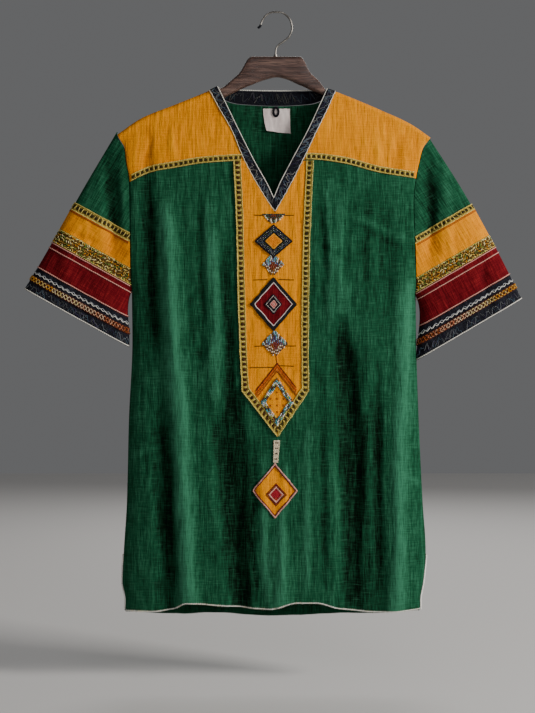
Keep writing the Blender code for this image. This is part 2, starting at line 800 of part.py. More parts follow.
def make_label(materials):
    """The bare label inside the back neck, with one corner lifted, and its loop."""
    rows = patch_rows("back", box_corners(*LABEL), 4)
    for n, row in enumerate(rows):
        for k, (point, normal) in enumerate(row):
            row[k] = (point - normal * LABEL_CURL * (n / 4) ** 3 * (1 - k / 4) ** 2, normal)
    behind = CLOTH + LAYER
    label = cloth_wall("label", [rows], (-behind - TRIM, -behind), materials["white_label"])
    over = behind + TRIM + LAYER
    loop_rows = patch_rows("back", box_corners(*LOOP), 2)
    loop = cloth_wall("label_loop", [loop_rows], (-over - TRIM, -over), materials["charcoal_cotton"])
    return [label, loop]


def armhole_cutter(side):
    """A block on the body's side of an armhole, which trims the sleeve to the seam."""
    outward = SLEEVES[side]["side"]
    bottom, top = ARMHOLE_SPAN
    heights = [mix(bottom, top, n / ARMHOLE_STEPS) for n in range(ARMHOLE_STEPS + 1)]
    outline = [(side_x(side, z) + outward * ARMHOLE_GAP, z) for z in heights]
    outline += [(0.0, top), (0.0, bottom)]
    mesh_builder = bmesh.new()
    face = mesh_builder.faces.new([mesh_builder.verts.new((x, -ARMHOLE_HALF, z)) for x, z in outline])
    depth = bmesh.ops.extrude_face_region(mesh_builder, geom=[face])
    moved = [item for item in depth["geom"] if isinstance(item, bmesh.types.BMVert)]
    bmesh.ops.translate(mesh_builder, verts=moved, vec=(0, 2 * ARMHOLE_HALF, 0))
    bmesh.ops.recalc_face_normals(mesh_builder, faces=mesh_builder.faces)
    cutter = mesh_object(f"armhole_{side}", mesh_builder, None)
    cutter.hide_render = True
    cutter.display_type = "WIRE"
    return cutter


def make_sleeve(side, materials, cutter):
    """A set-in sleeve and the bands sewn round it."""
    sleeve = SLEEVES[side]
    multi_low, multi_high, red_low, gold_low, yellow_low, narrow_low, top = sleeve["bands"]
    first = (2 * LAYER, 2 * LAYER + TRIM)
    second = (first[1] + LAYER, first[1] + LAYER + TRIM)
    red_mid, yellow_mid = (red_low + gold_low) / 2, (yellow_low + narrow_low) / 2
    cap = [mix(top, sleeve["cap"], n / 5) for n in range(1, 6)]
    body = [0.0, *sleeve["bands"][:3], red_mid, gold_low, yellow_low, yellow_mid, narrow_low, top, *cap]
    pieces = (
        ("sleeve", body, (-CLOTH, 0.0), "green_linen"),
        ("cuff", (0.0, multi_low, multi_high, red_low), first, "charcoal_cotton"),
        ("cuff_braid", (multi_low, multi_high), second, "woven_braid"),
        ("red_band", (red_low, red_mid, gold_low), first, "red_cotton"),
        ("gold_braid", (gold_low, yellow_low), first, "woven_braid"),
        ("yellow_band", (yellow_low, yellow_mid, narrow_low), first, "yellow_cotton"),
        ("narrow_braid", (narrow_low, top), first, "woven_braid"),
    )
    made = []
    for name, levels, lifts, fabric in pieces:
        trimmed = [levels[0] + SEAM / 2, *levels[1:-1], levels[-1] - SEAM / 2]
        rings = [sleeve_ring(sleeve, along) for along in trimmed]
        piece = cloth_wall(f"{name}_{side}", [rings], lifts, materials[fabric], closed=True)
        trim = piece.modifiers.new("armhole", "BOOLEAN")
        trim.operation = "DIFFERENCE"
        trim.object = cutter
        made.append(piece)
    return made


def hanger_section(x):
    """Top and bottom of the hanger at x: the board in the neck, an arm inside a shoulder."""
    if HANGER[0][0] <= x <= HANGER[-1][0]:
        return read(HANGER, x), read(HANGER, x, 2)
    top = read(SHOULDER, x) - HANGER_DROP
    return top, top - HANGER_HEIGHT


def make_hanger(materials):
    """The wooden hanger: upright stadium sections lofted from end to end."""
    left, right = HANGER_ENDS
    full = ARM_ENDS[-1][0]
    stations = [(left + reach, size) for reach, size in ARM_ENDS]
    stations += [(mix(left + full, HANGER[0][0], n / ARM_STEPS), 1.0) for n in range(1, ARM_STEPS)]
    stations += [(row[0], 1.0) for row in HANGER]
    stations += [(mix(HANGER[-1][0], right - full, n / ARM_STEPS), 1.0) for n in range(1, ARM_STEPS)]
    stations += [(right - reach, size) for reach, size in reversed(ARM_ENDS)]
    mesh_builder = bmesh.new()
    rings = []
    for x, size in stations:
        top, bottom = hanger_section(x)
        taper = HANGER_TAPER * smooth((abs(x) - TAPER_FROM) / TAPER_FROM)
        middle, half = (top + bottom) / 2, (HANGER_HALF - taper) * size
        reach = (top - bottom) / 2 * size - half
        ring = []
        for n in range(14):
            angle = math.radians(30 * (n if n < 7 else n - 1))
            shift = reach if n < 7 else -reach
            ring.append((x, half * math.cos(angle), middle + shift + half * math.sin(angle)))
        rings.append([mesh_builder.verts.new(point) for point in ring])
    for ring, following in zip(rings, rings[1:]):
        for n in range(14):
            m = (n + 1) % 14
            mesh_builder.faces.new([ring[n], ring[m], following[m], following[n]])
    mesh_builder.faces.new(rings[0])
    mesh_builder.faces.new(rings[-1])
    bmesh.ops.recalc_face_normals(mesh_builder, faces=mesh_builder.faces)
    return mesh_object("hanger", mesh_builder, materials["walnut"])


def tube(name, points, radius, resolution, material, cyclic=False):
    """A round tube through points, as a curve with a bevel."""
    curve = bpy.data.curves.new(name, "CURVE")
    curve.dimensions = "3D"
    curve.bevel_depth = radius
    curve.bevel_resolution = resolution
    curve.use_fill_caps = True
    spline = curve.splines.new("POLY")
    spline.points.add(len(points) - 1)
    for control, point in zip(spline.points, points):
        control.co = (*point, 1.0)
    spline.use_cyclic_u = cyclic
    curve.materials.append(material)
    return bpy.data.objects.new(name, curve)


def arc_points(knots, count):
    """Points at even steps along a smooth curve through (x, height) knots."""
    lengths = [0.0]
    for a, b in zip(knots, knots[1:]):
        lengths.append(lengths[-1] + math.dist(a, b))
    along = [(length, *knot) for length, knot in zip(lengths, knots)]
    places = [lengths[-1] * n / (count - 1) for n in range(count)]
    return [(read(along, place), 0.0, read(along, place, 2)) for place in places]


def neck_cord_points():
    """The corded edge's centre line: down the V, up again and round the back of the neck."""
    reach = NECK_CORD + SEAM
    points = []
    for side, order in (("left", 1), ("right", -1)):
        shares = ([0.003, 0.012, 0.035] + [mix(0.08, 1.0, n / 10) for n in range(11)])[::order]
        rows = NECK_BAND[side]
        inward = 1 if side == "left" else -1
        for share in shares:
            x = read(rows, share, 2) + inward * reach * (1 - smooth((share - 0.8) / 0.2))
            z = read(rows, share, 3) + reach * smooth((share - 0.6) / 0.4) * CORD_TIP_RISE
            point, normal = body_point("front", x, z)
            if share < 1 or side == "left":
                points.append(point)
    start, end = NECK_BAND["right"][0][2], NECK_BAND["left"][0][2]
    for n in range(19):
        share = n / 18
        x = mix(start - reach, end + reach, (1 - math.cos(math.pi * share)) / 2)
        point, normal = body_point("back", x, read(BACK_NECK, x, 2) + reach)
        points.append(point)
    return points


def main():
    """Builds the tunic, its hanger and its hook in their own collection."""
    clear_scene()
    materials = make_materials()
    parts = bpy.data.collections.new(NAME)
    cutters = bpy.data.collections.new("cutters")
    for collection in (parts, cutters):
        bpy.context.scene.collection.children.link(collection)
    made = make_body(materials) + make_trim(materials) + make_label(materials)
    for side in ("left", "right"):
        cutter = armhole_cutter(side)
        cutters.objects.link(cutter)
        made += make_sleeve(side, materials, cutter)
    made.append(make_hanger(materials))
    made.append(tube("hook", arc_points(HOOK, 34), WIRE, 2, materials["steel_wire"]))
    cord = materials["cream_cord"]
    made.append(tube("neck_cord", neck_cord_points(), NECK_CORD, 1, cord, cyclic=True))
    hang_point = bpy.data.objects.new("hang_point", None)
    parts.objects.link(hang_point)
    for obj in made:
        parts.objects.link(obj)
        obj.parent = hang_point


main()
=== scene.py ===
"""The looks of a v-neck tunic on a board hanger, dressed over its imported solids.

Every size is in metres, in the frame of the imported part: +Z up, the front of the garment toward -Y,
and the origin at the inside top of the hook. The cloth follows the same form as the solids, drawn
finer, with the creases, weaves, braids, beads and sewing that the real tunic shows.
"""

from __future__ import annotations

import json
import logging
import math
from dataclasses import dataclass, field
from enum import Enum
from typing import Sequence

import bmesh
import bpy
import numpy as np
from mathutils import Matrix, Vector

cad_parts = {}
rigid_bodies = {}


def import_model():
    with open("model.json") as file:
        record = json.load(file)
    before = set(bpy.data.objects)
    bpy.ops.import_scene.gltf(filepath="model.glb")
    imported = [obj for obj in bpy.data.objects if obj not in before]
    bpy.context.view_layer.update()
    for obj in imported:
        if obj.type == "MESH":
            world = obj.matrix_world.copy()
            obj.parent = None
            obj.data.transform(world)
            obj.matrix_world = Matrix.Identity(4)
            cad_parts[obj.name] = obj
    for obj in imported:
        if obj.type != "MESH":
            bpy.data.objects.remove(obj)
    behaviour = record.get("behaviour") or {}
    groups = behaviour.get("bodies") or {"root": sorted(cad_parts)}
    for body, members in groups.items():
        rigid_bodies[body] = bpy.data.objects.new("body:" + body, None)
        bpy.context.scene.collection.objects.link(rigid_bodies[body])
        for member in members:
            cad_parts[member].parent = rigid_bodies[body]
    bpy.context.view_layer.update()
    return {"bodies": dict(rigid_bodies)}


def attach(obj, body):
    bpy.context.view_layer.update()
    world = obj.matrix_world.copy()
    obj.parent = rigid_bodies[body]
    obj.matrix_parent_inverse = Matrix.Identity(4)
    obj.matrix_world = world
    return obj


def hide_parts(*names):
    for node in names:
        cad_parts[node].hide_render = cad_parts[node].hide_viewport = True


Array = np.ndarray
Color = tuple[float, float, float]
Piece = bpy.types.Object
Material = bpy.types.Material
Random = np.random.Generator

LOG = logging.getLogger("tunic")

# Thickness of cloth, of a trim and of a braid's ground, and the gaps at seams and between layers
CLOTH = 0.0012
TRIM = 0.0010
BRAID = TRIM * 0.6
SEAM = 0.0004
LAYER = 0.0004
# Step over which a slope is taken, and the distance within which points are one
STEP = 0.00001
WELD = 0.000001
# How much the sizes of sewn marks vary
UNEVEN = 0.12

PLAIN = (0.8, 0.8, 0.8)
YELLOW_THREAD = (0.68, 0.56, 0.17)
CREAM = (0.74, 0.65, 0.48)
WHITE = (0.72, 0.70, 0.64)
# A brighter copy of the white thread, as painted light, so the slit edges look lit.
PAINTED_LIGHT_WHITE = (0.95, 0.93, 0.88)
PINK = (0.66, 0.36, 0.30)
BROWN = (0.050, 0.020, 0.010)
RUST = (0.34, 0.085, 0.015)
INK = (0.008, 0.009, 0.015)
SKY = (0.22, 0.34, 0.45)
SILVER = (0.34, 0.36, 0.38)
VIOLET = (0.10, 0.08, 0.20)
LEAF = (0.17, 0.26, 0.05)
MAROON = (0.16, 0.012, 0.016)
GOLD = (0.62, 0.27, 0.012)
ORANGE = (0.66, 0.16, 0.012)
TEAL = (0.03, 0.34, 0.38)
PALE_BLUE = (0.22, 0.46, 0.62)
NAVY = (0.015, 0.030, 0.160)
BLACK = (0.010, 0.012, 0.014)
OLIVE = (0.035, 0.026, 0.007)
CHESTNUT = (0.060, 0.022, 0.008)


class Side(Enum):
    """The garment's sides as a viewer of the front sees them."""

    LEFT = -1
    RIGHT = 1

    @property
    def word(self) -> str:
        """The side's word in the names of pieces."""
        return self.name.lower()

    @property
    def column(self) -> int:
        """The column of this side's x in a table of left and right edges."""
        return 1 if self is Side.LEFT else 2


class Face(Enum):
    """The two faces of the garment, by the sign of Y."""

    FRONT = -1
    BACK = 1


class Mark(Enum):
    """Shapes of a sewn mark, as segments and rings of its small solid."""

    STITCH = (6, 4)
    BEAD = (8, 6)


def mix(a: Array | float, b: Array | float, share: Array | float) -> Array | float:
    """The value that lies the given share of the way from a to b."""
    return a + (b - a) * share


def smooth(value: Array | float) -> Array:
    """A soft step from 0 to 1, held at both ends."""
    t = np.clip(value, 0.0, 1.0)
    return t * t * (3 - 2 * t)


def bulge(across: Array | float, power: Array | float) -> Array:
    """Height of a flat-fronted section with round ends: 1 in the middle, 0 at -1 and 1."""
    return np.sqrt(np.maximum(0.0, 1 - np.abs(across) ** power))


def unit(vectors: Array) -> Array:
    """Vectors along the last axis, brought to length 1."""
    return vectors / np.maximum(np.linalg.norm(vectors, axis=-1, keepdims=True), 1e-12)


def arc_lengths(points: Array) -> Array:
    """Distance along a line at each of its points."""
    return np.concatenate([[0.0], np.cumsum(np.linalg.norm(np.diff(points, axis=0), axis=1))])


def leaning(headings: Array, normals: Array, slope: Array | float) -> Array:
    """Headings turned across the cloth by a slope."""
    return unit(headings + np.cross(normals, headings) * slope)


def varied(random: Random, tints: Array | Color, low: float, high: float, count: int) -> Array:
    """A tint for each of so many marks, between two shares of the thread's own."""
    return np.asarray(tints) * random.uniform(low, high, (count, 1))


@dataclass(frozen=True)
class Curve:
    """A short table of sizes, read as smooth curves that never overshoot."""

    rows: tuple[tuple[float, ...], ...]

    def read(self, key: Array | float, column: int = 1) -> Array:
        """Reads a column of the table.

        Args:
            key: Places in the first column, held within the table.
            column: The column to read.

        Returns:
            The column's smooth values there.
        """
        keys = np.array([row[0] for row in self.rows])
        values = np.array([row[column] for row in self.rows])
        slopes = np.diff(values) / np.diff(keys)
        before, after = slopes[:-1], slopes[1:]
        monotone = before * after > 0
        inner = np.where(monotone, 2 * before * after / np.where(monotone, before + after, 1.0), 0.0)
        tangents = np.concatenate([slopes[:1], inner, slopes[-1:]])
        place = np.clip(key, keys[0], keys[-1])
        here = np.clip(np.searchsorted(keys, place, side="right") - 1, 0, len(keys) - 2)
        width = keys[here + 1] - keys[here]
        t = (place - keys[here]) / width
        ends = (1 + 2 * t) * (1 - t) ** 2 * values[here] + t * t * (3 - 2 * t) * values[here + 1]
        return ends + width * t * (1 - t) * ((1 - t) * tangents[here] - t * tangents[here + 1])


@dataclass(frozen=True)
class Fold:
    """A main fold that runs down the cloth: a ridge, or a trough where its height is below 0."""

    x_top: float
    x_bottom: float
    top: float
    bottom: float
    half_width: float
    height: float
    fade: float = 0.080

    def lift(self, x: Array, z: Array) -> Array:
        """How far the fold lifts the cloth at each point."""
        middle = mix(self.x_top, self.x_bottom, (self.top - z) / (self.top - self.bottom))
        across = np.minimum(np.abs(x - middle) / self.half_width, 1.0)
        ends = smooth((self.top - z) / self.fade) * smooth((z - self.bottom) / self.fade)
        return self.height * ends * 0.5 * (1 + np.cos(np.pi * across))


@dataclass(frozen=True)
class Crease:
    """A small crease between two points of the side-seam plane, in any direction."""

    x_start: float
    z_start: float
    x_end: float
    z_end: float
    half_width: float
    height: float

    def lift(self, x: Array, z: Array) -> Array:
        """How far the crease lifts the cloth at each point: sharp along its line, soft at its ends."""
        run_x, run_z = self.x_end - self.x_start, self.z_end - self.z_start
        length = math.hypot(run_x, run_z)
        along = ((x - self.x_start) * run_x + (z - self.z_start) * run_z) / length**2
        across = ((x - self.x_start) * run_z - (z - self.z_start) * run_x) / length
        bow = 0.12 * self.half_width * np.sin(9.0 * along + 40.0 * self.x_start)
        near = np.maximum(0.0, 1 - ((across + bow) / self.half_width) ** 2)
        ends = np.clip(along, 0.0, 1.0) * np.clip(1 - along, 0.0, 1.0) * 4
        return self.height * near * near * np.sqrt(ends)


@dataclass(frozen=True)
class Crinkle:
    """Fine uneven ripples of washed cloth, which bend, swell and die out down their length."""

    seed: int
    width: float
    length: float
    height: float
    waves: int = 9

    def lift(self, x: Array, z: Array) -> Array:
        """How far the ripples lift the cloth at each point."""
        random = np.random.default_rng(self.seed)
        total = np.zeros(np.broadcast(x, z).shape)
        for _ in range(self.waves):
            width, length = self.width * random.uniform(0.6, 1.8), self.length * random.uniform(0.6, 1.6)
            sway, turn = random.uniform(0.3, 0.9) * width, random.uniform(0, 2 * math.pi, 4)
            bent = x + sway * np.sin(2 * math.pi * z / length + turn[0])
            swell = 0.5 + 0.5 * np.sin(2 * math.pi * (z / (1.7 * length) + x / (9 * width)) + turn[1])
            patch = 0.5 + 0.5 * np.sin(2 * math.pi * (x / (6.3 * width) - z / (2.9 * length)) + turn[2])
            total += np.sin(2 * math.pi * bent / width + turn[3]) * swell * patch
        return self.height * total / math.sqrt(self.waves)


@dataclass(frozen=True)
class Puckers:
    """The puckers that sewing draws in: above the hem, beside the placket, under the yoke seam.

    Each has its height and pitch. The low end is the height below which the placket draws none.
    """

    hem: Curve
    placket: Curve
    yoke_seam: Curve
    low_end: float = -0.60
    hem_size: tuple[float, float] = (0.00055, 0.0078)
    placket_size: tuple[float, float] = (0.00030, 0.0105)
    seam_size: tuple[float, float] = (0.00035, 0.0092)

    def lift(self, x: Array, z: Array) -> Array:
        """How far the puckers lift the cloth at each point."""
        turn = 2 * math.pi
        swell = 0.7 + 0.3 * np.sin(x * 97.0)
        above = 1 - smooth((z - self.hem.read(x)) / 0.017)
        hem = np.sin((x + 0.0016 * np.sin(x * 61.0)) * turn / self.hem_size[1]) * swell * above
        left, right = self.placket.read(z), self.placket.read(z, 2)
        beside = np.minimum(np.abs(x - left), np.abs(x - right))
        fade = (1 - smooth((beside - 0.003) / 0.014)) * smooth((beside - 0.0015) / 0.004)
        fade = np.where(((x < left) | (x > right)) & (z > self.low_end), fade, 0.0)
        placket = np.sin(z * turn / self.placket_size[1] + 3 * np.sin(z * 40.0)) * fade
        under = self.yoke_seam.read(x) - z
        drawn = (1 - smooth((under - 0.002) / 0.013)) * smooth((under - 0.001) / 0.004)
        drawn = np.where(under > 0, drawn, 0.0)
        seam = np.sin((x + 0.002 * np.sin(x * 45.0)) * turn / self.seam_size[1]) * drawn
        return self.hem_size[0] * hem + self.placket_size[0] * placket + self.seam_size[0] * seam


@dataclass(frozen=True)
class SleeveSizes:
    """One sleeve, measured from its cuff line.

    The corner is the cuff's outer end, the slope is the cuff's, and the cap is the distance to the
    top of the cap. The levels are where the bands meet, from the cuff up. The back's creases are
    shifted, so that they don't mirror the front's.
    """

    side: Side
    corner: tuple[float, float]
    slope: float
    cap: float
    levels: tuple[float, ...]
    edges: Curve
    folds: tuple[Fold, ...]
    creases: tuple[Crease, ...]
    depths: Curve
    power: float = 4.0
    crinkle: Crinkle = Crinkle(seed=5, width=0.017, length=0.110, height=0.00060)
    back_shift: float = 0.012
    # Lifts at which fold and ripple lift give full painted shade in troughs, and full abrasion and painted
    # highlight on ridges.
    fold_wear: float = 0.010
    detail_wear: float = 0.0040

    def place(self, along: Array, across: Array) -> tuple[Array, Array]:
        """x and height of the point at a distance from the cuff line and from the outer line."""
        sine, cosine = math.sin(self.slope), math.cos(self.slope)
        x = self.corner[0] - self.side.value * (across * cosine + along * sine)
        return x, self.corner[1] - across * sine + along * cosine

    def depth(self, x: Array, z: Array) -> Array:
        """Half depth of the sleeve at points of the side-seam plane, 0 outside it."""
        inward, up = -self.side.value * (x - self.corner[0]), z - self.corner[1]
        sine, cosine = math.sin(self.slope), math.cos(self.slope)
        across, along = inward * cosine - up * sine, inward * sine + up * cosine
        outer, inner = self.edges.read(along), self.edges.read(along, 2)
        flat = bulge(np.clip(2 * (across - outer) / (inner - outer) - 1, -1, 1), self.power)
        full = self.depths.read(along) + sum(fold.lift(x, z) for fold in self.folds)
        return np.where((along >= 0) & (along <= self.cap), flat * full, 0.0)

    def detail(self, x: Array, z: Array, face: Array) -> Array:
        """Lift of the small creases and ripples, which differ from front to back."""
        shift = np.where(face > 0, self.back_shift, 0.0)
        creases = sum(crease.lift(x + shift, z + shift) for crease in self.creases)
        return creases + self.crinkle.lift(x + shift, z)


@dataclass(frozen=True)
class Grid:
    """Rows of points of a surface, with their outward normals, place on the cut cloth, and fold lift as
    painted shade: darker in troughs, lighter on ridges as abrasion and a painted highlight.
    """

    points: Array
    normals: Array
    cut: Array
    wear: Array

    def lifted(self, lift: float) -> Grid:
        """The same surface, moved out along its normals."""
        return Grid(self.points + self.normals * lift, self.normals, self.cut, self.wear)


@dataclass(frozen=True)
class TunicForm:
    """The form of the hung tunic: how far its cloth stands from the side-seam plane.

    It holds the same tables as the solids: the outline (height, left x, right x), the shoulder line
    (x, height), the half depths (drop below the shoulder, front, back) and the main folds. The
    fold, crease and detail shade lifts are those at which folds, creases and ripples give full painted
    shade in their troughs, and full abrasion and painted highlight on their ridges.
    """

    sides: Curve
    shoulder: Curve
    depths: Curve
    folds: dict[Face, tuple[Fold, ...]]
    creases: dict[Face, tuple[Crease, ...]]
    crinkles: dict[Face, tuple[Crinkle, ...]]
    puckers: Puckers
    sleeves: dict[Side, SleeveSizes]
    side_power: float = 5.0
    shoulder_power: float = 14.0
    shoulder_fall: float = 0.100
    slit_top: float = -0.845
    slit_gape: float = 0.0030
    tip_depth: float = 0.0060
    tip_low: float = -0.300
    tip_ease: float = 0.050
    nose: float = 0.0080
    calm: float = 0.012
    loosen: float = 0.045
    fold_wear: float = 0.0085
    crease_wear: float = 0.0034
    detail_wear: float = 0.0060

    def side_x(self, side: Side, z: Array | float) -> Array:
        """Where the outline is at a height."""
        return self.sides.read(z, side.column)

    def edge_depth(self, side: Side, z: Array) -> Array:
        """Half depth at the side: the armhole above the underarm, a slit near the hem."""
        armhole = self.sleeves[side].depth(self.side_x(side, z), z)
        slit = self.slit_gape * smooth((self.slit_top - z) / (self.slit_top - self.sides.rows[0][0]))
        tip = self.tip_depth * smooth((z - self.tip_low) / self.tip_ease)
        return np.maximum.reduce([armhole, slit, tip, np.full_like(slit, SEAM / 2)])

    def creased(self, face: Face, x: Array, z: Array) -> Array:
        """Lift of the listed creases."""
        return sum(crease.lift(x, z) for crease in self.creases[face])

    def detail(self, face: Face, x: Array, z: Array) -> Array:
        """Lift of the small creases, ripples and puckers, which the solids leave out."""
        total = self.creased(face, x, z) + sum(crinkle.lift(x, z) for crinkle in self.crinkles[face])
        return total + (self.puckers.lift(x, z) if face is Face.FRONT else 0.0)

    def depth(self, face: Face, x: Array, z: Array) -> Array:
        """Distance of the front or back cloth's outer surface from the side-seam plane."""
        left, right = self.side_x(Side.LEFT, z), self.side_x(Side.RIGHT, z)
        across = np.clip((2 * x - left - right) / (right - left), -1.0, 1.0)
        drop = np.maximum(0.0, self.shoulder.read(x) - z)
        nose = bulge(np.clip(1 - drop / self.nose, 0.0, 1.0), 2.0)
        power = mix(self.shoulder_power, self.side_power, smooth(drop / self.shoulder_fall))
        flat = bulge(across, power)
        edges = np.where(across < 0, self.edge_depth(Side.LEFT, z), self.edge_depth(Side.RIGHT, z))
        full = self.depths.read(drop, 1 if face is Face.FRONT else 2) * nose
        folds = sum(fold.lift(x, z) for fold in self.folds[face]) * nose
        loose = smooth((drop - self.calm) / self.loosen)
        raised = folds + self.detail(face, x, z) * loose
        return np.maximum(SEAM / 2, mix(edges * nose, full, flat) + raised * flat)

    def grid(self, face: Face, x: Array, z: Array, shift: tuple[float, float] = (0.0, 0.0)) -> Grid:
        """The surface through rows of places in the side-seam plane.

        Args:
            face: Which face of the garment.
            x: Rows of x.
            z: Rows of heights.
            shift: Moves the place on the cut cloth, so that two pieces don't share one weave.

        Returns:
            The grid with outward normals.
        """
        slope_x = (self.depth(face, x + STEP, z) - self.depth(face, x - STEP, z)) / (2 * STEP)
        slope_z = (self.depth(face, x, z + STEP) - self.depth(face, x, z - STEP)) / (2 * STEP)
        out = face.value
        normals = unit(np.stack([-slope_x, np.full_like(x, out), -slope_z], axis=-1))
        points = np.stack([x, out * self.depth(face, x, z), z], axis=-1)
        # Painted shade: fold, crease and ripple lift, negative in troughs, which the cloth paints darker; on
        # ridges it paints abrasion and a highlight.
        wear = sum(fold.lift(x, z) for fold in self.folds[face]) / self.fold_wear
        wear = wear + self.creased(face, x, z) / self.crease_wear
        wear = np.clip(wear + self.detail(face, x, z) / self.detail_wear, -1.0, 1.0)
        return Grid(points, normals, np.stack([x + shift[0], z + shift[1]], axis=-1), wear)

    def sleeve_grid(self, side: Side, levels: Sequence[float], stations: int, rows: int) -> Grid:
        """A band round a sleeve, open at the armhole.

        Args:
            side: Which sleeve.
            levels: Lowest and highest distance from the cuff line.
            stations: Columns from the armhole round the outer fold and back.
            rows: Rows up the band.

        Returns:
            The grid, whose columns run from the back of the armhole to its front.
        """
        sleeve = self.sleeves[side]
        along = np.linspace(levels[0], levels[1], rows + 1)[:, None]
        inner_place = self.armhole_place(side, along)
        turn = np.linspace(-1.0, 1.0, 2 * stations + 1)[None, :]
        place = np.cos(np.arccos(inner_place) * np.abs(turn))
        face = np.where(turn > 0, -1.0, 1.0) * np.ones_like(place)
        points = self.sleeve_points(sleeve, along * np.ones_like(place), place, face)
        around = np.gradient(points, axis=1)
        closed = inner_place[:, 0] <= -1 + 1e-9
        seam = points[closed, 1] - points[closed, -2]
        around[closed, 0] = seam
        around[closed, -1] = seam
        lower = self.sleeve_points(sleeve, (along - 0.002) * np.ones_like(place), place, face)
        normals = unit(np.cross(points - lower, around)) * -side.value
        outward = np.sum(normals * points * [0, 1, 0], axis=-1)
        normals = normals * np.where(outward[:, [stations // 2]].mean() < 0, -1.0, 1.0)
        reach = np.linalg.norm(np.diff(points, axis=1), axis=-1)
        girth = np.concatenate([np.zeros_like(along), np.cumsum(reach, axis=1)], axis=1)
        girth = girth - girth[:, [stations]]
        x, z = points[..., 0], points[..., 2]
        # Painted shade on the sleeve: fold and ripple lift, darker in troughs, lighter on ridges as abrasion
        # and a painted highlight.
        wear = sum(fold.lift(x, z) for fold in sleeve.folds) / sleeve.fold_wear
        wear = np.clip(wear + sleeve.detail(x, z, face) / sleeve.detail_wear, -1, 1)
        return Grid(points, normals, np.stack([girth + side.value * 1.3, along + 0 * girth], axis=-1), wear)

    def sleeve_points(self, sleeve: SleeveSizes, along: Array, place: Array, face: Array) -> Array:
        """Points of a sleeve: distance from the cuff line, place across from 1 outside to -1 inside."""
        outer, inner = sleeve.edges.read(along), sleeve.edges.read(along, 2)
        x, z = sleeve.place(along, mix(inner, outer, (place + 1) / 2))
        full = sleeve.depths.read(along) + sum(fold.lift(x, z) for fold in sleeve.folds)
        calm = smooth((sleeve.cap - along) / 0.060) * smooth(1.6 * (1 - np.abs(place)))
        full = full + sleeve.detail(x, z, face) * calm
        return np.stack([x, face * bulge(place, sleeve.power) * full, z], axis=-1)

    def armhole_place(self, side: Side, along: Array) -> Array:
        """Place across at which each ring of a sleeve meets the armhole, or -1 where it is whole."""
        sleeve = self.sleeves[side]
        low, high = np.full_like(along, -1.0), np.full_like(along, 1.0)
        for _ in range(40):
            middle = (low + high) / 2
            across = mix(sleeve.edges.read(along, 2), sleeve.edges.read(along), (middle + 1) / 2)
            x, z = sleeve.place(along, across)
            limit = self.side_x(side, z) + side.value * 2.5 * SEAM
            inside = side.value * (x - limit) < 0
            low, high = np.where(inside, middle, low), np.where(inside, high, middle)
        return np.where(low < -1 + 1e-6, -1.0, np.minimum(low, 1 - 1e-6))


def cloth_wall(name: str, grids: Sequence[Grid], inner: float, outer: float, material: Material) -> Piece:
    """A closed wall of cloth over one or more grids that meet along shared points.

    Args:
        name: The piece's name.
        grids: Surfaces, all wound the same way.
        inner: Lift of the hidden side along the normals.
        outer: Lift of the shown side.
        material: The cloth.

    Returns:
        The wall, with its place on the cut cloth as a UV map in metres, and its fold lift as an attribute of
        painted shade and abrasion; its inner side carries a darker painted shade.
    """
    points = np.concatenate([grid.points.reshape(-1, 3) for grid in grids])
    normals = np.concatenate([grid.normals.reshape(-1, 3) for grid in grids])
    cut = np.concatenate([grid.cut.reshape(-1, 2) for grid in grids])
    wear = np.concatenate([grid.wear.ravel() for grid in grids])
    keys = np.round(points / WELD).astype(np.int64)
    _, first, number = np.unique(keys, axis=0, return_index=True, return_inverse=True)
    number = number.ravel()
    corners, start = [], 0
    for grid in grids:
        rows, columns = grid.points.shape[:2]
        index = start + np.arange(rows * columns).reshape(rows, columns)
        quads = [index[:-1, :-1], index[:-1, 1:], index[1:, 1:], index[1:, :-1]]
        corners.append(np.stack(quads, axis=-1).reshape(-1, 4))
        start += rows * columns
    flat = np.concatenate(corners)
    crossed = np.cross(points[flat[:, 2]] - points[flat[:, 0]], points[flat[:, 3]] - points[flat[:, 1]])
    if np.sum(crossed * normals[flat[:, 0]]) < 0:
        flat = flat[:, ::-1]
    faces, sources, rim = [], [], set()
    for quad, welded in zip(flat.tolist(), number[flat].tolist()):
        kept = [k for k in range(4) if welded[k] != welded[k - 1]]
        if len(kept) < 3:
            continue
        face = [welded[k] for k in kept]
        faces.append(face)
        sources.append([quad[k] for k in kept])
        for a, b in zip(face, face[1:] + face[:1]):
            if (b, a) in rim:
                rim.remove((b, a))
            else:
                rim.add((a, b))
    count = len(first)
    base, out = points[first], normals[first]
    vertices = np.concatenate([base + out * outer, base + out * inner])
    source_of = first.tolist()
    inside = [[corner + count for corner in reversed(face)] for face in faces]
    edge = [[b, a, a + count, b + count] for a, b in sorted(rim)]
    mesh = bpy.data.meshes.new(name)
    mesh.from_pydata(vertices.tolist(), [], faces + inside + edge)
    order = [k for source in sources for k in source]
    order += [k for source in sources for k in reversed(source)]
    order += [source_of[corner % count] for quad in edge for corner in quad]
    layer = mesh.uv_layers.new(name="cut")
    layer.data.foreach_set("uv", cut[order].astype(np.float32).ravel())
    # The attribute paints shade into fold troughs and light onto ridges, the light partly abrasion.
    shade_and_wear_data = mesh.attributes.new("wear", "FLOAT", "POINT")
    # Painted shade: the inner side of every wall is set much darker than its outer side, with a faint copy of
    # the folds.
    hidden = wear[first] * 0.3 - 0.4
    shade_and_wear_data.data.foreach_set("value", np.concatenate([wear[first], hidden]).astype(np.float32))
    return finished_object(name, mesh, material, math.radians(55))


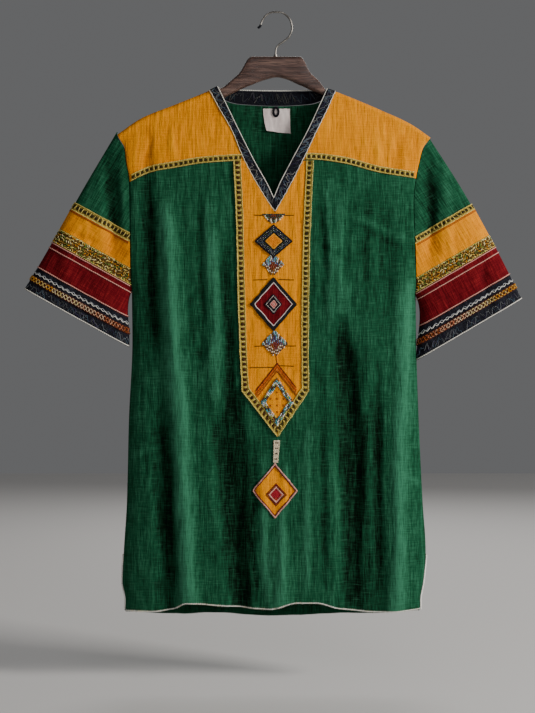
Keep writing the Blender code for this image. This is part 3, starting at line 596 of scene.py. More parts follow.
def finished_object(name: str, mesh: bpy.types.Mesh, material: Material, crease: float) -> Piece:
    """A smooth-shaded object in the scene, with edges sharper than the crease angle kept sharp."""
    mesh.validate()
    mesh.shade_smooth()
    mesh.set_sharp_from_angle(angle=crease)
    mesh.materials.append(material)
    made = bpy.data.objects.new(name, mesh)
    bpy.context.scene.collection.objects.link(made)
    return made


def turn_outward(mesh: bpy.types.Mesh) -> None:
    """Makes every face of a closed mesh face outward."""
    builder = bmesh.new()
    builder.from_mesh(mesh)
    bmesh.ops.recalc_face_normals(builder, faces=builder.faces)
    builder.to_mesh(mesh)
    builder.free()


@dataclass(frozen=True)
class Path:
    """A line over the cloth: its points, their outward normals, and one colour for the thread."""

    points: Array
    normals: Array
    tint: Color = PLAIN
    closed: bool = False


def thread_mesh(
    name: str, paths: Sequence[Path], radius: float, sides: int, material: Material, flat: float = 1.0
) -> Piece:
    """Round threads swept along paths, joined in one mesh.

    Args:
        name: The piece's name.
        paths: Where each thread runs.
        radius: Half width of the thread.
        sides: Sides of its section.
        material: Its finish, which may read the colour attribute "tint".
        flat: Height of the section as a share of its width.

    Returns:
        The joined threads, with a UV map in metres along and round each one.
    """
    vertices, faces, tints, maps = [], [], [], []
    turn = np.linspace(0, 2 * math.pi, sides, endpoint=False)
    for path in paths:
        start = len(vertices)
        points, count = path.points, len(path.points)
        ahead, behind = np.roll(points, -1, axis=0), np.roll(points, 1, axis=0)
        heading = unit(ahead - behind)
        if not path.closed:
            heading[0], heading[-1] = unit(points[1] - points[0]), unit(points[-1] - points[-2])
        across = unit(np.cross(heading, path.normals))
        up = np.cross(across, heading)
        wide = np.cos(turn)[None, :, None] * across[:, None]
        rings = points[:, None] + radius * (wide + flat * np.sin(turn)[None, :, None] * up[:, None])
        vertices.extend(rings.reshape(-1, 3).tolist())
        length = arc_lengths(points)
        for n in range(count if path.closed else count - 1):
            m = (n + 1) % count
            here, there = start + n * sides, start + m * sides
            low, high = length[n], length[n] + np.linalg.norm(points[m] - points[n])
            for k in range(sides):
                j = (k + 1) % sides
                faces.append([here + k, there + k, there + j, here + j])
                rise = 2 * math.pi * radius / sides
                near, far = k * rise, (k + 1) * rise
                maps.extend([(low, near), (high, near), (high, far), (low, far)])
        if not path.closed:
            last = start + (count - 1) * sides
            faces.append([start + k for k in range(sides)])
            faces.append([last + k for k in reversed(range(sides))])
            maps.extend([(0.0, 0.0)] * (2 * sides))
        tints.extend([path.tint] * (count * sides))
    mesh = bpy.data.meshes.new(name)
    mesh.from_pydata(vertices, [], faces)
    layer = mesh.uv_layers.new(name="cut")
    layer.data.foreach_set("uv", np.array(maps, np.float32).ravel())
    colored = mesh.color_attributes.new("tint", "FLOAT_COLOR", "POINT")
    colored.data.foreach_set("color", np.array([(*tint, 1.0) for tint in tints], np.float32).ravel())
    turn_outward(mesh)
    return finished_object(name, mesh, material, math.radians(70))


@dataclass(frozen=True)
class Ribbon:
    """A strip of cloth addressed by metres along it and the share across it."""

    grid: Grid

    def reach(self) -> Array:
        """Distance along the strip's middle at each of its columns."""
        return arc_lengths(self.grid.points[self.grid.points.shape[0] // 2])

    @property
    def length(self) -> float:
        """The strip's length."""
        return float(self.reach()[-1])

    def at(self, run: Array, share: Array, lift: float = 0.0) -> tuple[Array, Array, Array]:
        """Places on the strip.

        Args:
            run: Metres along the strip.
            share: Share of the way across, from 0 to 1.
            lift: Height above the strip.

        Returns:
            Points, normals and headings along the strip.
        """
        rows, columns = self.grid.points.shape[:2]
        column = np.interp(run, self.reach(), np.arange(columns))
        row = np.clip(share, 0.0, 1.0) * (rows - 1) * np.ones_like(column)
        points = self.between(self.grid.points, row, column)
        normals = unit(self.between(self.grid.normals, row, column))
        before = self.between(self.grid.points, row, np.maximum(column - 0.5, 0))
        after = self.between(self.grid.points, row, np.minimum(column + 0.5, columns - 1))
        return points + normals * lift, normals, unit(after - before)

    @staticmethod
    def between(values: Array, row: Array, column: Array) -> Array:
        """Values of the grid at fractional rows and columns."""
        low_row = np.clip(np.floor(row).astype(int), 0, values.shape[0] - 2)
        low_column = np.clip(np.floor(column).astype(int), 0, values.shape[1] - 2)
        down, right = (row - low_row)[:, None], (column - low_column)[:, None]
        near = mix(values[low_row, low_column], values[low_row, low_column + 1], right)
        far = mix(values[low_row + 1, low_column], values[low_row + 1, low_column + 1], right)
        return mix(near, far, down)

    def path(self, run: Array, share: Array, lift: float, tint: Color) -> Path:
        """A thread's path over the strip."""
        points, normals, _ = self.at(run, share, lift)
        return Path(points, normals, tint)


class Wire:
    """A node's output as a value: its operators add Math nodes to the same graph."""

    def __init__(self, graph: Graph, socket: bpy.types.NodeSocket) -> None:
        """Wraps one output socket of a graph."""
        self.graph = graph
        self.socket = socket

    def calculate(self, operation: str, *values: Wire | float) -> Wire:
        """One Math node on this value and the others."""
        return self.graph.node("ShaderNodeMath", {"operation": operation}, dict(enumerate(values)))

    def __add__(self, other: Wire | float) -> Wire:
        """The sum."""
        return self.calculate("ADD", self, other)

    __radd__ = __add__

    def __sub__(self, other: Wire | float) -> Wire:
        """The difference."""
        return self.calculate("SUBTRACT", self, other)

    def __rsub__(self, other: Wire | float) -> Wire:
        """The difference from a plain number."""
        return self.calculate("SUBTRACT", other, self)

    def __mul__(self, other: Wire | float) -> Wire:
        """The product."""
        return self.calculate("MULTIPLY", self, other)

    __rmul__ = __mul__

    def __truediv__(self, other: Wire | float) -> Wire:
        """The quotient."""
        return self.calculate("DIVIDE", self, other)

    def sine(self) -> Wire:
        """The sine of the value."""
        return self.calculate("SINE", self)

    def fraction(self) -> Wire:
        """What is left of the value past a whole number."""
        return self.calculate("FRACT", self)

    def larger(self, other: Wire | float) -> Wire:
        """The larger of two values."""
        return self.calculate("MAXIMUM", self, other)

    def rise(self, low: float, high: float) -> Wire:
        """A soft step from 0 to 1 as the value goes from low to high."""
        settings = {"interpolation_type": "SMOOTHSTEP", "clamp": True}
        return self.graph.node("ShaderNodeMapRange", settings, {0: self, 1: low, 2: high})

    def within(self, low: float, high: float, soft: float) -> Wire:
        """1 between low and high, with soft ends."""
        return self.rise(low - soft, low + soft) * (1 - self.rise(high - soft, high + soft))


class Graph:
    """A material's nodes."""

    def __init__(self, name: str) -> None:
        """Starts a material with one Principled shader."""
        self.material = bpy.data.materials.new(name)
        self.material.use_nodes = True
        self.tree = self.material.node_tree
        self.shader = next(n for n in self.tree.nodes if n.type == "BSDF_PRINCIPLED")

    def node(
        self, kind: str, settings: dict | None = None, inputs: dict | None = None, output: int | str = 0
    ) -> Wire:
        """Adds a node.

        Args:
            kind: The node's type.
            settings: Its own settings, set first; "stops" are a ramp's places and colours.
            inputs: Values or wires by socket name or number.
            output: The output to hand back.

        Returns:
            The output as a wire.
        """
        made = self.tree.nodes.new(kind)
        for key, value in (settings or {}).items():
            if key == "stops":
                ramp = made.color_ramp
                while len(ramp.elements) < len(value):
                    ramp.elements.new(1.0)
                for element, (place, color) in zip(ramp.elements, value):
                    element.position = place
                    element.color = (*color, 1.0)
            else:
                setattr(made, key, value)
        for key, value in (inputs or {}).items():
            self.feed(made.inputs[key], value)
        return Wire(self, made.outputs[output])

    def feed(self, socket: bpy.types.NodeSocket, value: Wire | float | Sequence[float]) -> None:
        """Links a wire to a socket, or sets the socket's own value."""
        if isinstance(value, Wire):
            self.tree.links.new(value.socket, socket)
        elif isinstance(value, (tuple, list)) and socket.type == "RGBA":
            socket.default_value = (*value, 1.0)
        else:
            socket.default_value = value

    def cut(self) -> tuple[Wire, Wire, Wire]:
        """The place on the cut cloth, in metres: the vector, and its two parts."""
        place = self.node("ShaderNodeUVMap", {"uv_map": "cut"})
        apart = self.node("ShaderNodeSeparateXYZ", None, {0: place})
        return place, apart, Wire(self, apart.socket.node.outputs[1])

    def place(self) -> Wire:
        """The place on the object, in metres."""
        return self.node("ShaderNodeTexCoord", None, None, "Object")

    def noise(
        self, place: Wire, scale: tuple[float, float, float], detail: float = 2.0, roughness: float = 0.5
    ) -> Wire:
        """Soft noise over a place, with its scale along each axis, spread from 0 to 1."""
        spread = self.node("ShaderNodeVectorMath", {"operation": "MULTIPLY"}, {0: place, 1: scale})
        inputs = {"Vector": spread, "Scale": 1.0, "Detail": detail, "Roughness": roughness}
        return self.node("ShaderNodeTexNoise", None, inputs).rise(0.22, 0.78)

    def blend(self, factor: Wire | float, first: Wire | Color, second: Wire | Color) -> Wire:
        """A mix of two colours."""
        return self.node("ShaderNodeMix", {"data_type": "RGBA"}, {0: factor, 6: first, 7: second}, 2)

    def attribute(self, name: str, output: str = "Fac") -> Wire:
        """A value that the mesh carries."""
        return self.node("ShaderNodeAttribute", {"attribute_name": name}, None, output)

    def relief(self, height: Wire, distance: float, strength: float = 1.0) -> None:
        """Raises the surface's shading by a height between 0 and 1."""
        inputs = {"Height": height, "Distance": distance, "Strength": strength}
        self.feed(self.shader.inputs["Normal"], self.node("ShaderNodeBump", None, inputs))

    def finish(self, color: Wire | Color, roughness: Wire | float, **plain: float) -> Material:
        """Sets the shader's colour, roughness and plain numbers, and hands back the material."""
        self.feed(self.shader.inputs["Base Color"], color)
        self.feed(self.shader.inputs["Roughness"], roughness)
        for key, value in plain.items():
            self.shader.inputs[key.replace("_", " ")].default_value = value
        return self.material


@dataclass(frozen=True)
class WovenCloth:
    """A slubbed plain weave of linen or cotton, with painted shade in its fold and crumple troughs, and
    abrasion and a painted highlight on its ridges.
    """

    name: str
    deep: Color
    body: Color
    bright: Color
    fleck: Color
    thread: float = 0.0011
    slub: float = 0.34
    mottle: float = 0.14
    # How strongly fold lift paints the colour: painted shade in troughs, abrasion and painted highlight on
    # ridges.
    wear: float = 0.20
    # How strongly the crumple relief paints the colour: painted shade in its troughs, painted light on its
    # crests.
    crumple: float = 0.10
    relief: float = 0.0016
    roughness: float = 0.90

    def build(self) -> Material:
        """The cloth's material, which follows the cut of each piece."""
        graph = Graph(self.name)
        place, across, along = graph.cut()
        rate = 1 / self.thread
        warp = graph.noise(place, (0.62 * rate, 0.055 * rate, 1.0))
        weft = graph.noise(place, (0.050 * rate, 0.62 * rate, 1.0))
        heavy = graph.noise(place, (0.30 * rate, 0.016 * rate, 1.0))
        clouds = graph.noise(place, (30.0, 14.0, 1.0), 4.0, 0.6)
        crumple = graph.noise(place, (105.0, 17.0, 1.0), 3.0, 0.55)
        ply = (across * (math.pi * rate)).sine() * (along * (math.pi * rate)).sine()
        shade_and_wear_data = graph.attribute("wear")
        shade = 0.5 + (warp - 0.5) * self.slub + (weft - 0.5) * (0.7 * self.slub)
        shade = shade + (heavy - 0.5) * (0.6 * self.slub) + (clouds - 0.5) * self.mottle
        # The fold attribute and the crumple relief add painted shade in troughs and painted light on ridges;
        # the other terms are the weave's own tone.
        shade = shade + (crumple - 0.5) * self.crumple + shade_and_wear_data * self.wear + ply * 0.06
        # The deep end holds both the weave's darker tone and the painted shade; the bright end its lighter
        # tone, abrasion and the painted highlight.
        stops = [(0.0, self.deep), (0.5, self.body), (1.0, self.bright)]
        color = graph.node("ShaderNodeValToRGB", {"stops": stops}, {0: shade})
        thick = graph.noise(place, (0.05 * rate, 0.5 * rate, 1.0), 1.0).rise(0.80, 0.95)
        color = graph.blend(thick * 0.16, color, self.fleck)
        height = (warp + weft) * 0.12 + heavy * 0.10 + ply * 0.04 + crumple * 0.62
        graph.relief(height, self.relief)
        return graph.finish(color, self.roughness, Specular_IOR_Level=0.07)


@dataclass(frozen=True)
class LadderWeave:
    """The ground of a narrow braid: dark knots between pale rungs, with pale edges."""

    name: str = "ladder_braid"
    pitch: float = 0.0078
    ground: Color = (0.36, 0.25, 0.030)
    dark: Color = (0.022, 0.016, 0.004)
    pale: Color = (0.56, 0.44, 0.09)
    knot: tuple[float, float] = (0.12, 0.60)
    inner: tuple[float, float] = (0.24, 0.76)

    def build(self) -> Material:
        """The braid's material: metres along it, and the share across it."""
        graph = Graph(self.name)
        place, along, share = graph.cut()
        loose = graph.noise(place, (260.0, 3.0, 1.0)) - 0.5
        phase = ((along + loose * 0.0016) / self.pitch).fraction()
        sway = share + loose * 0.12
        knots = phase.within(*self.knot, 0.07) * sway.within(*self.inner, 0.05)
        rungs = phase.within(0.72, 0.93, 0.05) * sway.within(0.12, 0.88, 0.04)
        edges = 1 - sway.within(0.13, 0.87, 0.03)
        fuzz = graph.noise(place, (2400.0, 14.0, 1.0))
        color = graph.blend(rungs.larger(edges), self.ground, self.pale)
        color = graph.blend(knots, color, self.dark)
        color = graph.blend(fuzz * 0.35, color, (0.10, 0.06, 0.01))
        graph.relief(rungs.larger(edges) * 0.6 + fuzz * 0.4, 0.0004)
        return graph.finish(color, 0.82, Specular_IOR_Level=0.15)


@dataclass(frozen=True)
class StrandYarn:
    """Cotton yarn of stitches and piping, in the colour that each carries."""

    name: str = "strand_yarn"

    def build(self) -> Material:
        """The yarn's material."""
        graph = Graph(self.name)
        tint = graph.attribute("tint", "Color")
        place = graph.place()
        fuzz = graph.noise(place, (900.0, 900.0, 900.0))
        color = graph.blend(fuzz * 0.45, tint, graph.node("ShaderNodeGamma", None, {0: tint, 1: 1.6}))
        graph.relief(fuzz, 0.0003)
        return graph.finish(color, 0.78, Specular_IOR_Level=0.15)


@dataclass(frozen=True)
class PipingCord:
    """A corded edge: two strands laid round each other, with painted shade in the grooves between them."""

    name: str = "piping_cord"
    lay: float = 0.0034

    def build(self) -> Material:
        """The cord's material, on its own run and girth."""
        graph = Graph(self.name)
        place, run, girth = graph.cut()
        tint = graph.attribute("tint", "Color")
        strands = ((run + girth * 0.9) * (2 * math.pi / self.lay)).sine() * 0.5 + 0.5
        fuzz = graph.noise(place, (700.0, 900.0, 1.0))
        # Painted shade: the grooves between the strands are darkened by a gamma of the tint.
        groove_shade = graph.node("ShaderNodeGamma", None, {0: tint, 1: 1.7})
        color = graph.blend((1 - strands) * 0.55 + fuzz * 0.25, tint, groove_shade)
        graph.relief(strands * 0.8 + fuzz * 0.2, 0.0005)
        return graph.finish(color, 0.74, Specular_IOR_Level=0.15)


@dataclass(frozen=True)
class GlassBead:
    """Seed beads of opaque glass, in the colour that each carries."""

    name: str = "seed_beads"

    def build(self) -> Material:
        """The beads' material."""
        graph = Graph(self.name)
        tint = graph.attribute("tint", "Color")
        place = graph.place()
        dust = graph.noise(place, (520.0, 520.0, 520.0))
        color = graph.blend(dust * 0.06, tint, (0.20, 0.17, 0.12))
        return graph.finish(color, 0.34 + dust * 0.25, Coat_Weight=0.10, Coat_Roughness=0.2)


@dataclass(frozen=True)
class Walnut:
    """Oiled dark walnut with its grain along the board."""

    name: str = "oiled_walnut"
    dark: Color = (0.022, 0.010, 0.007)
    body: Color = (0.080, 0.038, 0.028)
    pale: Color = (0.170, 0.098, 0.072)

    def build(self) -> Material:
        """The wood's material, on Object coordinates."""
        graph = Graph(self.name)
        place = graph.place()
        arched = graph.node("ShaderNodeMapping", {"vector_type": "POINT"}, {0: place, 1: (0.013, 0.0, 0.16)})
        bend = graph.noise(arched, (9.0, 9.0, 9.0), 2.0)
        figure = graph.noise(arched, (11.0, 80.0, 150.0), 4.0, 0.6)
        apart = graph.node("ShaderNodeSeparateXYZ", None, {0: arched}, 2)
        rings = ((apart * 900.0 + bend * 26.0 + figure * 7.0).sine() * 0.5 + 0.5).rise(0.1, 0.95)
        pores = graph.noise(arched, (60.0, 900.0, 1500.0), 1.0).rise(0.66, 0.84)
        shade = figure * 0.72 + rings * 0.16 + 0.06
        stops = [(0.08, self.dark), (0.48, self.body), (0.92, self.pale)]
        color = graph.node("ShaderNodeValToRGB", {"stops": stops}, {0: shade})
        color = graph.blend(pores * 0.75, color, self.dark)
        graph.relief(shade * 0.5 + (1 - pores) * 0.5, 0.0004)
        return graph.finish(color, 0.36 + shade * 0.22, Coat_Weight=0.10, Coat_Roughness=0.3)


@dataclass(frozen=True)
class DrawnWire:
    """Dull drawn steel wire, mottled darker and lighter."""

    name: str = "drawn_wire"

    def build(self) -> Material:
        """The wire's material."""
        graph = Graph(self.name)
        place = graph.place()
        haze = graph.noise(place, (160.0, 160.0, 160.0), 3.0)
        specks = graph.noise(place, (1400.0, 1400.0, 1400.0), 1.0)
        color = graph.blend(haze, (0.14, 0.13, 0.12), (0.34, 0.32, 0.29))
        color = graph.blend(specks * 0.2, color, (0.08, 0.07, 0.06))
        return graph.finish(color, 0.30 + haze * 0.25, Metallic=1.0)


class Sewing:
    """Makes rows of stitches, knots and beads by Geometry Nodes, one small solid on each place."""

    inputs = {"Segments": "Int", "Rings": "Int", "Uneven": "Float", "Seed": "Int", "Yarn": "Material"}

    def __init__(self) -> None:
        """Builds the node tree once, with named inputs for its sizes."""
        self.tree = bpy.data.node_groups.new("sewn_marks", "GeometryNodeTree")
        self.tree.is_modifier = True
        face = self.tree.interface
        face.new_socket("Places", in_out="INPUT", socket_type="NodeSocketGeometry")
        for name, kind in self.inputs.items():
            face.new_socket(name, in_out="INPUT", socket_type=f"NodeSocket{kind}")
        face.new_socket("Marks", in_out="OUTPUT", socket_type="NodeSocketGeometry")
        given = self.add("NodeGroupInput", {}, {}).outputs
        ball = {"Segments": given["Segments"], "Rings": given["Rings"], "Radius": 0.5}
        solid = self.add("GeometryNodeMeshUVSphere", {}, ball)
        heading, facing, size = (self.carried(name) for name in ("heading", "facing", "size"))
        along = self.add("FunctionNodeAlignRotationToVector", {"axis": "X"}, {"Vector": heading})
        about = {"axis": "Z", "pivot_axis": "X"}
        both = {"Rotation": along.outputs[0], "Vector": facing}
        turned = self.add("FunctionNodeAlignRotationToVector", about, both)
        spread = {2: -1.0, 3: 1.0, "Seed": given["Seed"]}
        chance = self.add("FunctionNodeRandomValue", {"data_type": "FLOAT"}, spread)
        share = {0: chance.outputs[1], 1: given["Uneven"], 2: 1.0}
        uneven = self.add("ShaderNodeMath", {"operation": "MULTIPLY_ADD"}, share)
        sized = {0: size, "Scale": uneven.outputs[0]}
        scaled = self.add("ShaderNodeVectorMath", {"operation": "SCALE"}, sized)
        placed = self.add("GeometryNodeInstanceOnPoints", {}, {
            "Points": given["Places"],
            "Instance": solid.outputs[0],
            "Rotation": turned.outputs[0],
            "Scale": scaled.outputs[0],
        })
        real = self.add("GeometryNodeRealizeInstances", {}, {0: placed.outputs[0]})
        finish = {"Geometry": real.outputs[0], "Material": given["Yarn"]}
        colored = self.add("GeometryNodeSetMaterial", {}, finish)
        self.add("NodeGroupOutput", {}, {0: colored.outputs[0]})
        self.sockets = {item.name: item.identifier for item in face.items_tree if item.in_out == "INPUT"}

    def add(self, kind: str, settings: dict, inputs: dict) -> bpy.types.Node:
        """Adds a node with its settings, and links or sets its inputs."""
        made = self.tree.nodes.new(kind)
        for key, value in settings.items():
            setattr(made, key, value)
        for key, value in inputs.items():
            if isinstance(value, bpy.types.NodeSocket):
                self.tree.links.new(value, made.inputs[key])
            else:
                made.inputs[key].default_value = value
        return made

    def carried(self, name: str) -> bpy.types.NodeSocket:
        """A vector that each place carries."""
        kind = "GeometryNodeInputNamedAttribute"
        return self.add(kind, {"data_type": "FLOAT_VECTOR"}, {"Name": name}).outputs[0]

    def sew(self, name: str, marks: Marks, mark: Mark, yarn: Material, uneven: float) -> Piece:
        """Turns gathered places into one mesh of marks.

        Args:
            name: The piece's name.
            marks: The places, with their headings, facings, sizes and colours.
            mark: The shape on each place.
            yarn: The material.
            uneven: How much the sizes vary.

        Returns:
            The plain mesh object.
        """
        points, headings, facings, sizes, tints = marks.arrays()
        mesh = bpy.data.meshes.new(f"{name}_places")
        mesh.from_pydata(points.tolist(), [], [])
        for key, values in (("heading", headings), ("facing", facings), ("size", sizes)):
            held = mesh.attributes.new(key, "FLOAT_VECTOR", "POINT")
            held.data.foreach_set("vector", values.astype(np.float32).ravel())
        colors = mesh.attributes.new("tint", "FLOAT_COLOR", "POINT")
        colors.data.foreach_set("color", np.c_[tints, np.ones(len(tints))].astype(np.float32).ravel())
        places = bpy.data.objects.new(f"{name}_places", mesh)
        bpy.context.scene.collection.objects.link(places)
        modifier = places.modifiers.new("sewing", "NODES")
        modifier.node_group = self.tree
        segments, rings = mark.value
        values = {"Segments": segments, "Rings": rings, "Uneven": uneven, "Seed": len(points), "Yarn": yarn}
        for key, value in values.items():
            modifier[self.sockets[key]] = value
        places.update_tag()
        graph = bpy.context.evaluated_depsgraph_get()
        made = bpy.data.meshes.new_from_object(places.evaluated_get(graph))
        made.name = name
        places.modifiers.clear()
        bpy.data.objects.remove(places)
        bpy.data.meshes.remove(mesh)
        made.shade_smooth()
        result = bpy.data.objects.new(name, made)
        bpy.context.scene.collection.objects.link(result)
        return result


@dataclass
class Marks:
    """Places of sewn marks, gathered before one piece is made of them."""

    rows: list[tuple[Array, Array, Array, Array, Array]] = field(default_factory=list)

    def add(
        self, points: Array, headings: Array, facings: Array, size: Sequence[float], tints: Array | Color
    ) -> None:
        """Adds marks.

        Args:
            points: Their places.
            headings: Which way each one runs.
            facings: Which way its top faces.
            size: Length, width and height of every mark.
            tints: One colour, or one for each mark.
        """
        count = len(points)
        sizes = np.broadcast_to(np.asarray(size, float), (count, 3))
        colors = np.broadcast_to(np.asarray(tints, float), (count, 3))
        self.rows.append((points, headings, facings, sizes, colors))

    def arrays(self) -> tuple[Array, Array, Array, Array, Array]:
        """All the places as five arrays."""
        return tuple(np.concatenate([row[k] for row in self.rows]) for k in range(5))



@dataclass
class Wardrobe:
    """What every sub-assembly needs: the form, the finishes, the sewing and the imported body."""

    form: TunicForm
    cloths: dict[str, Material]
    sewing: Sewing
    body: str

    def dress(self, piece: Piece, slot: str, *nodes: str) -> Piece:
        """Fixes a finished piece to the body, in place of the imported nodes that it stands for."""
        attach(piece, self.body)
        if nodes:
            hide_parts(*nodes)
        LOG.info("%s: %d faces", piece.name, len(piece.data.polygons))
        return piece

    def wall(
        self, name: str, grids: Sequence[Grid], lifts: tuple[float, float], cloth: str, slot: str, *nodes: str
    ) -> Piece:
        """A dressed wall of cloth."""
        return self.dress(cloth_wall(name, grids, *lifts, self.cloths[cloth]), slot, *nodes)

    def sewn(
        self, name: str, marks: Marks, slot: str, mark: Mark = Mark.STITCH, yarn: str = "yarn",
        uneven: float = UNEVEN,
    ) -> Piece:
        """A dressed piece of sewn marks."""
        return self.dress(self.sewing.sew(name, marks, mark, self.cloths[yarn], uneven), slot)

    def threads(
        self, name: str, paths: Sequence[Path], radius: float, yarn: str, slot: str, *nodes: str,
        sides: int = 6, flat: float = 1.0,
    ) -> Piece:
        """A dressed piece of threads or cords."""
        return self.dress(thread_mesh(name, paths, radius, sides, self.cloths[yarn], flat), slot, *nodes)

    def level(self, x: Array, z: float, lift: float) -> tuple[Array, Array]:
        """Points and normals of a level row of places over the front."""
        grid = self.form.grid(Face.FRONT, x[None], np.full((1, len(x)), z)).lifted(lift)
        return grid.points[0], grid.normals[0]

    def trace(
        self, face: Face, line: Sequence[tuple[float, float]] | Array, step: float, lift: float
    ) -> tuple[Array, Array, Array]:
        """Even places along a line over the body's cloth.

        Args:
            face: Which face.
            line: Corners of the line, as x and height.
            step: About how far apart the places are.
            lift: Height above the cloth.

        Returns:
            Points, normals and headings.
        """
        corners = np.asarray(line, float)
        reach = arc_lengths(corners)
        count = max(2, int(round(reach[-1] / step)) + 1)
        run = np.linspace(0.0, reach[-1], count)
        x, z = np.interp(run, reach, corners[:, 0]), np.interp(run, reach, corners[:, 1])
        grid = self.form.grid(face, x[None], z[None]).lifted(lift)
        points = grid.points[0]
        return points, grid.normals[0], unit(np.gradient(points, axis=0))


def ribboned(grid: Grid) -> Grid:
    """The same strip with its cut given as metres along it and the share across it."""
    run = Ribbon(grid).reach()
    rows = grid.points.shape[0]
    share = np.linspace(0.0, 1.0, rows)[:, None]
    cut = np.stack([np.broadcast_to(run, (rows, len(run))), share * np.ones_like(run)], axis=-1)
    return Grid(grid.points, grid.normals, cut, grid.wear)


def edge_shares(count: int) -> Array:
    """Shares of the way in from a side fold: close together round the fold, then even."""
    near = np.array([0.0, 0.0008, 0.0030, 0.0070, 0.0130, 0.0210, 0.0310])
    return np.concatenate([near, np.linspace(near[-1], 1.0, count - len(near) + 1)[1:]])


@dataclass(frozen=True)
class BodyCloth:
    """The green front and back, and the two yellow yokes.

    The hems, the yoke seam and the back neck are given as heights along x, and the neck edge as the
    left and right x along the height.
    """

    yoke_seam: Curve
    front_hem: Curve
    back_hem: Curve
    neck_edge: Curve
    back_neck: Curve
    neck_tip: float = -0.3139
    seam_level: float = -0.2335
    hem_level: float = -0.9260
    ease: float = 0.120
    braid: float = 0.0094
    armhole_level: float = -0.2
    rounds: int = 14

    def front_height(self, x: Array, level: Array) -> Array:
        """Height of a front row at x, which follows the yoke seam above and the hem below."""
        near_top = 1 - smooth((self.seam_level - level) / self.ease)
        near_hem = 1 - smooth((level - self.hem_level) / self.ease)
        rise = (self.yoke_seam.read(x) - SEAM - self.seam_level) * near_top
        return level + rise + (self.front_hem.read(x) - self.hem_level) * near_hem

    def front_half(self, form: TunicForm, side: Side, columns: int = 78, gap: float = 0.0042) -> Grid:
        """One half of the front, from its side to the V or to the centre line."""
        column = side.column
        neck = np.linspace(self.seam_level, self.neck_tip, 24)
        skirt = np.linspace(self.neck_tip, self.hem_level, int((self.neck_tip - self.hem_level) / gap))[1:]
        levels = np.concatenate([neck, skirt])
        side_height = self.front_height(form.side_x(side, levels), levels)
        outside = form.side_x(side, side_height)
        inside_height = self.front_height(self.neck_edge.read(levels, column), levels)
        inside = self.neck_edge.read(inside_height, column)
        x = mix(outside[:, None], inside[:, None], edge_shares(columns)[None])
        z = self.front_height(x, np.broadcast_to(levels[:, None], x.shape))
        if side is Side.RIGHT:
            x, z = x[:, ::-1], z[:, ::-1]
        return form.grid(Face.FRONT, x, z)

    def nose_drops(self, form: TunicForm) -> Array:
        """Drops below the shoulder line at which rows go round the hanger's arm."""
        return form.nose * (1 - np.cos(np.linspace(0.0, math.pi / 2, 9)))

    def back(self, form: TunicForm, gap: float = 0.0044) -> Grid:
        """The back, from the shoulder seams and the back neck down to the hem."""
        left, right = self.back_neck.rows[0][0] - 4 * SEAM, self.back_neck.rows[-1][0] + 4 * SEAM
        drops = self.nose_drops(form)
        below = int(0.79 / gap)
        steps = np.arange(len(drops) + below)

        def height(x: Array, row: Array) -> Array:
            """Height of a row at x."""
            on_band = mix(self.back_neck.rows[0][0], self.back_neck.rows[-1][0], (x - left) / (right - left))
            scooped = np.minimum(form.shoulder.read(x), self.back_neck.read(on_band) - 2 * SEAM)
            top = np.where((x > left) & (x < right), scooped, form.shoulder.read(x))
            near = top - drops[np.minimum(row, len(drops) - 1)]
            share = np.clip((row - len(drops) + 1) / below, 0.0, 1.0) ** 1.12
            return np.where(row < len(drops), near, mix(top - drops[-1], self.back_hem.read(x), share))

        wings = []
        for side, neck_end in ((Side.LEFT, left), (Side.RIGHT, right)):
            outside = np.full(len(steps), form.side_x(side, self.armhole_level))
            for _ in range(self.rounds):
                outside = form.side_x(side, height(outside, steps))
            wings.append(mix(outside[:, None], neck_end, edge_shares(48)[None]))
        bend = (1 - np.cos(np.pi * np.arange(1, 56) / 56)) / 2
        middle = np.broadcast_to(mix(left, right, bend)[None], (len(steps), len(bend)))
        x = np.concatenate([wings[0], middle, wings[1][:, ::-1]], axis=1)
        return form.grid(Face.BACK, x, height(x, steps[:, None]), (2.0, 0.4))

    def yoke(self, form: TunicForm, side: Side) -> Grid:
        """A shoulder yoke, from the shoulder line down to its seam."""
        drops = self.nose_drops(form)
        rest = np.linspace(0.0, 1.0, 30)[1:]
        rows = len(drops) + len(rest)
        inside_x = np.full(rows, self.neck_edge.read(self.armhole_level, side.column))
        outside_x = np.full(rows, form.side_x(side, self.armhole_level))

        def height(x: Array) -> Array:
            """Heights of all the rows at their x."""
            whole = form.shoulder.read(x) - self.yoke_seam.read(x)
            near = drops[:, None] * np.ones(x.shape[1])
            far = drops[-1] + rest[:, None] * (whole[len(drops):] - drops[-1])
            return form.shoulder.read(x) - np.concatenate([near, far])

        for _ in range(self.rounds):
            outside_x = form.side_x(side, height(outside_x[:, None])[:, 0])
            inside_x = self.neck_edge.read(height(inside_x[:, None])[:, 0], side.column)
        x = mix(outside_x[:, None], inside_x[:, None], edge_shares(64)[None])
        return form.grid(Face.FRONT, x, height(x), (0.7, 0.9))

    def yoke_braid(self, form: TunicForm, side: Side) -> Grid:
        """The strip of braid along a yoke seam, from the armhole to the neck band."""
        outside = form.side_x(side, self.yoke_seam.read(form.side_x(side, -0.26)))
        inside = self.neck_edge.read(self.seam_level + 0.006, side.column)
        x = mix(outside, inside, np.linspace(0.018, 0.990, 72))[None] * np.ones((5, 1))
        z = self.yoke_seam.read(x) + self.braid * np.linspace(1.0, 0.0, 5)[:, None]
        return ribboned(form.grid(Face.FRONT, x, z))

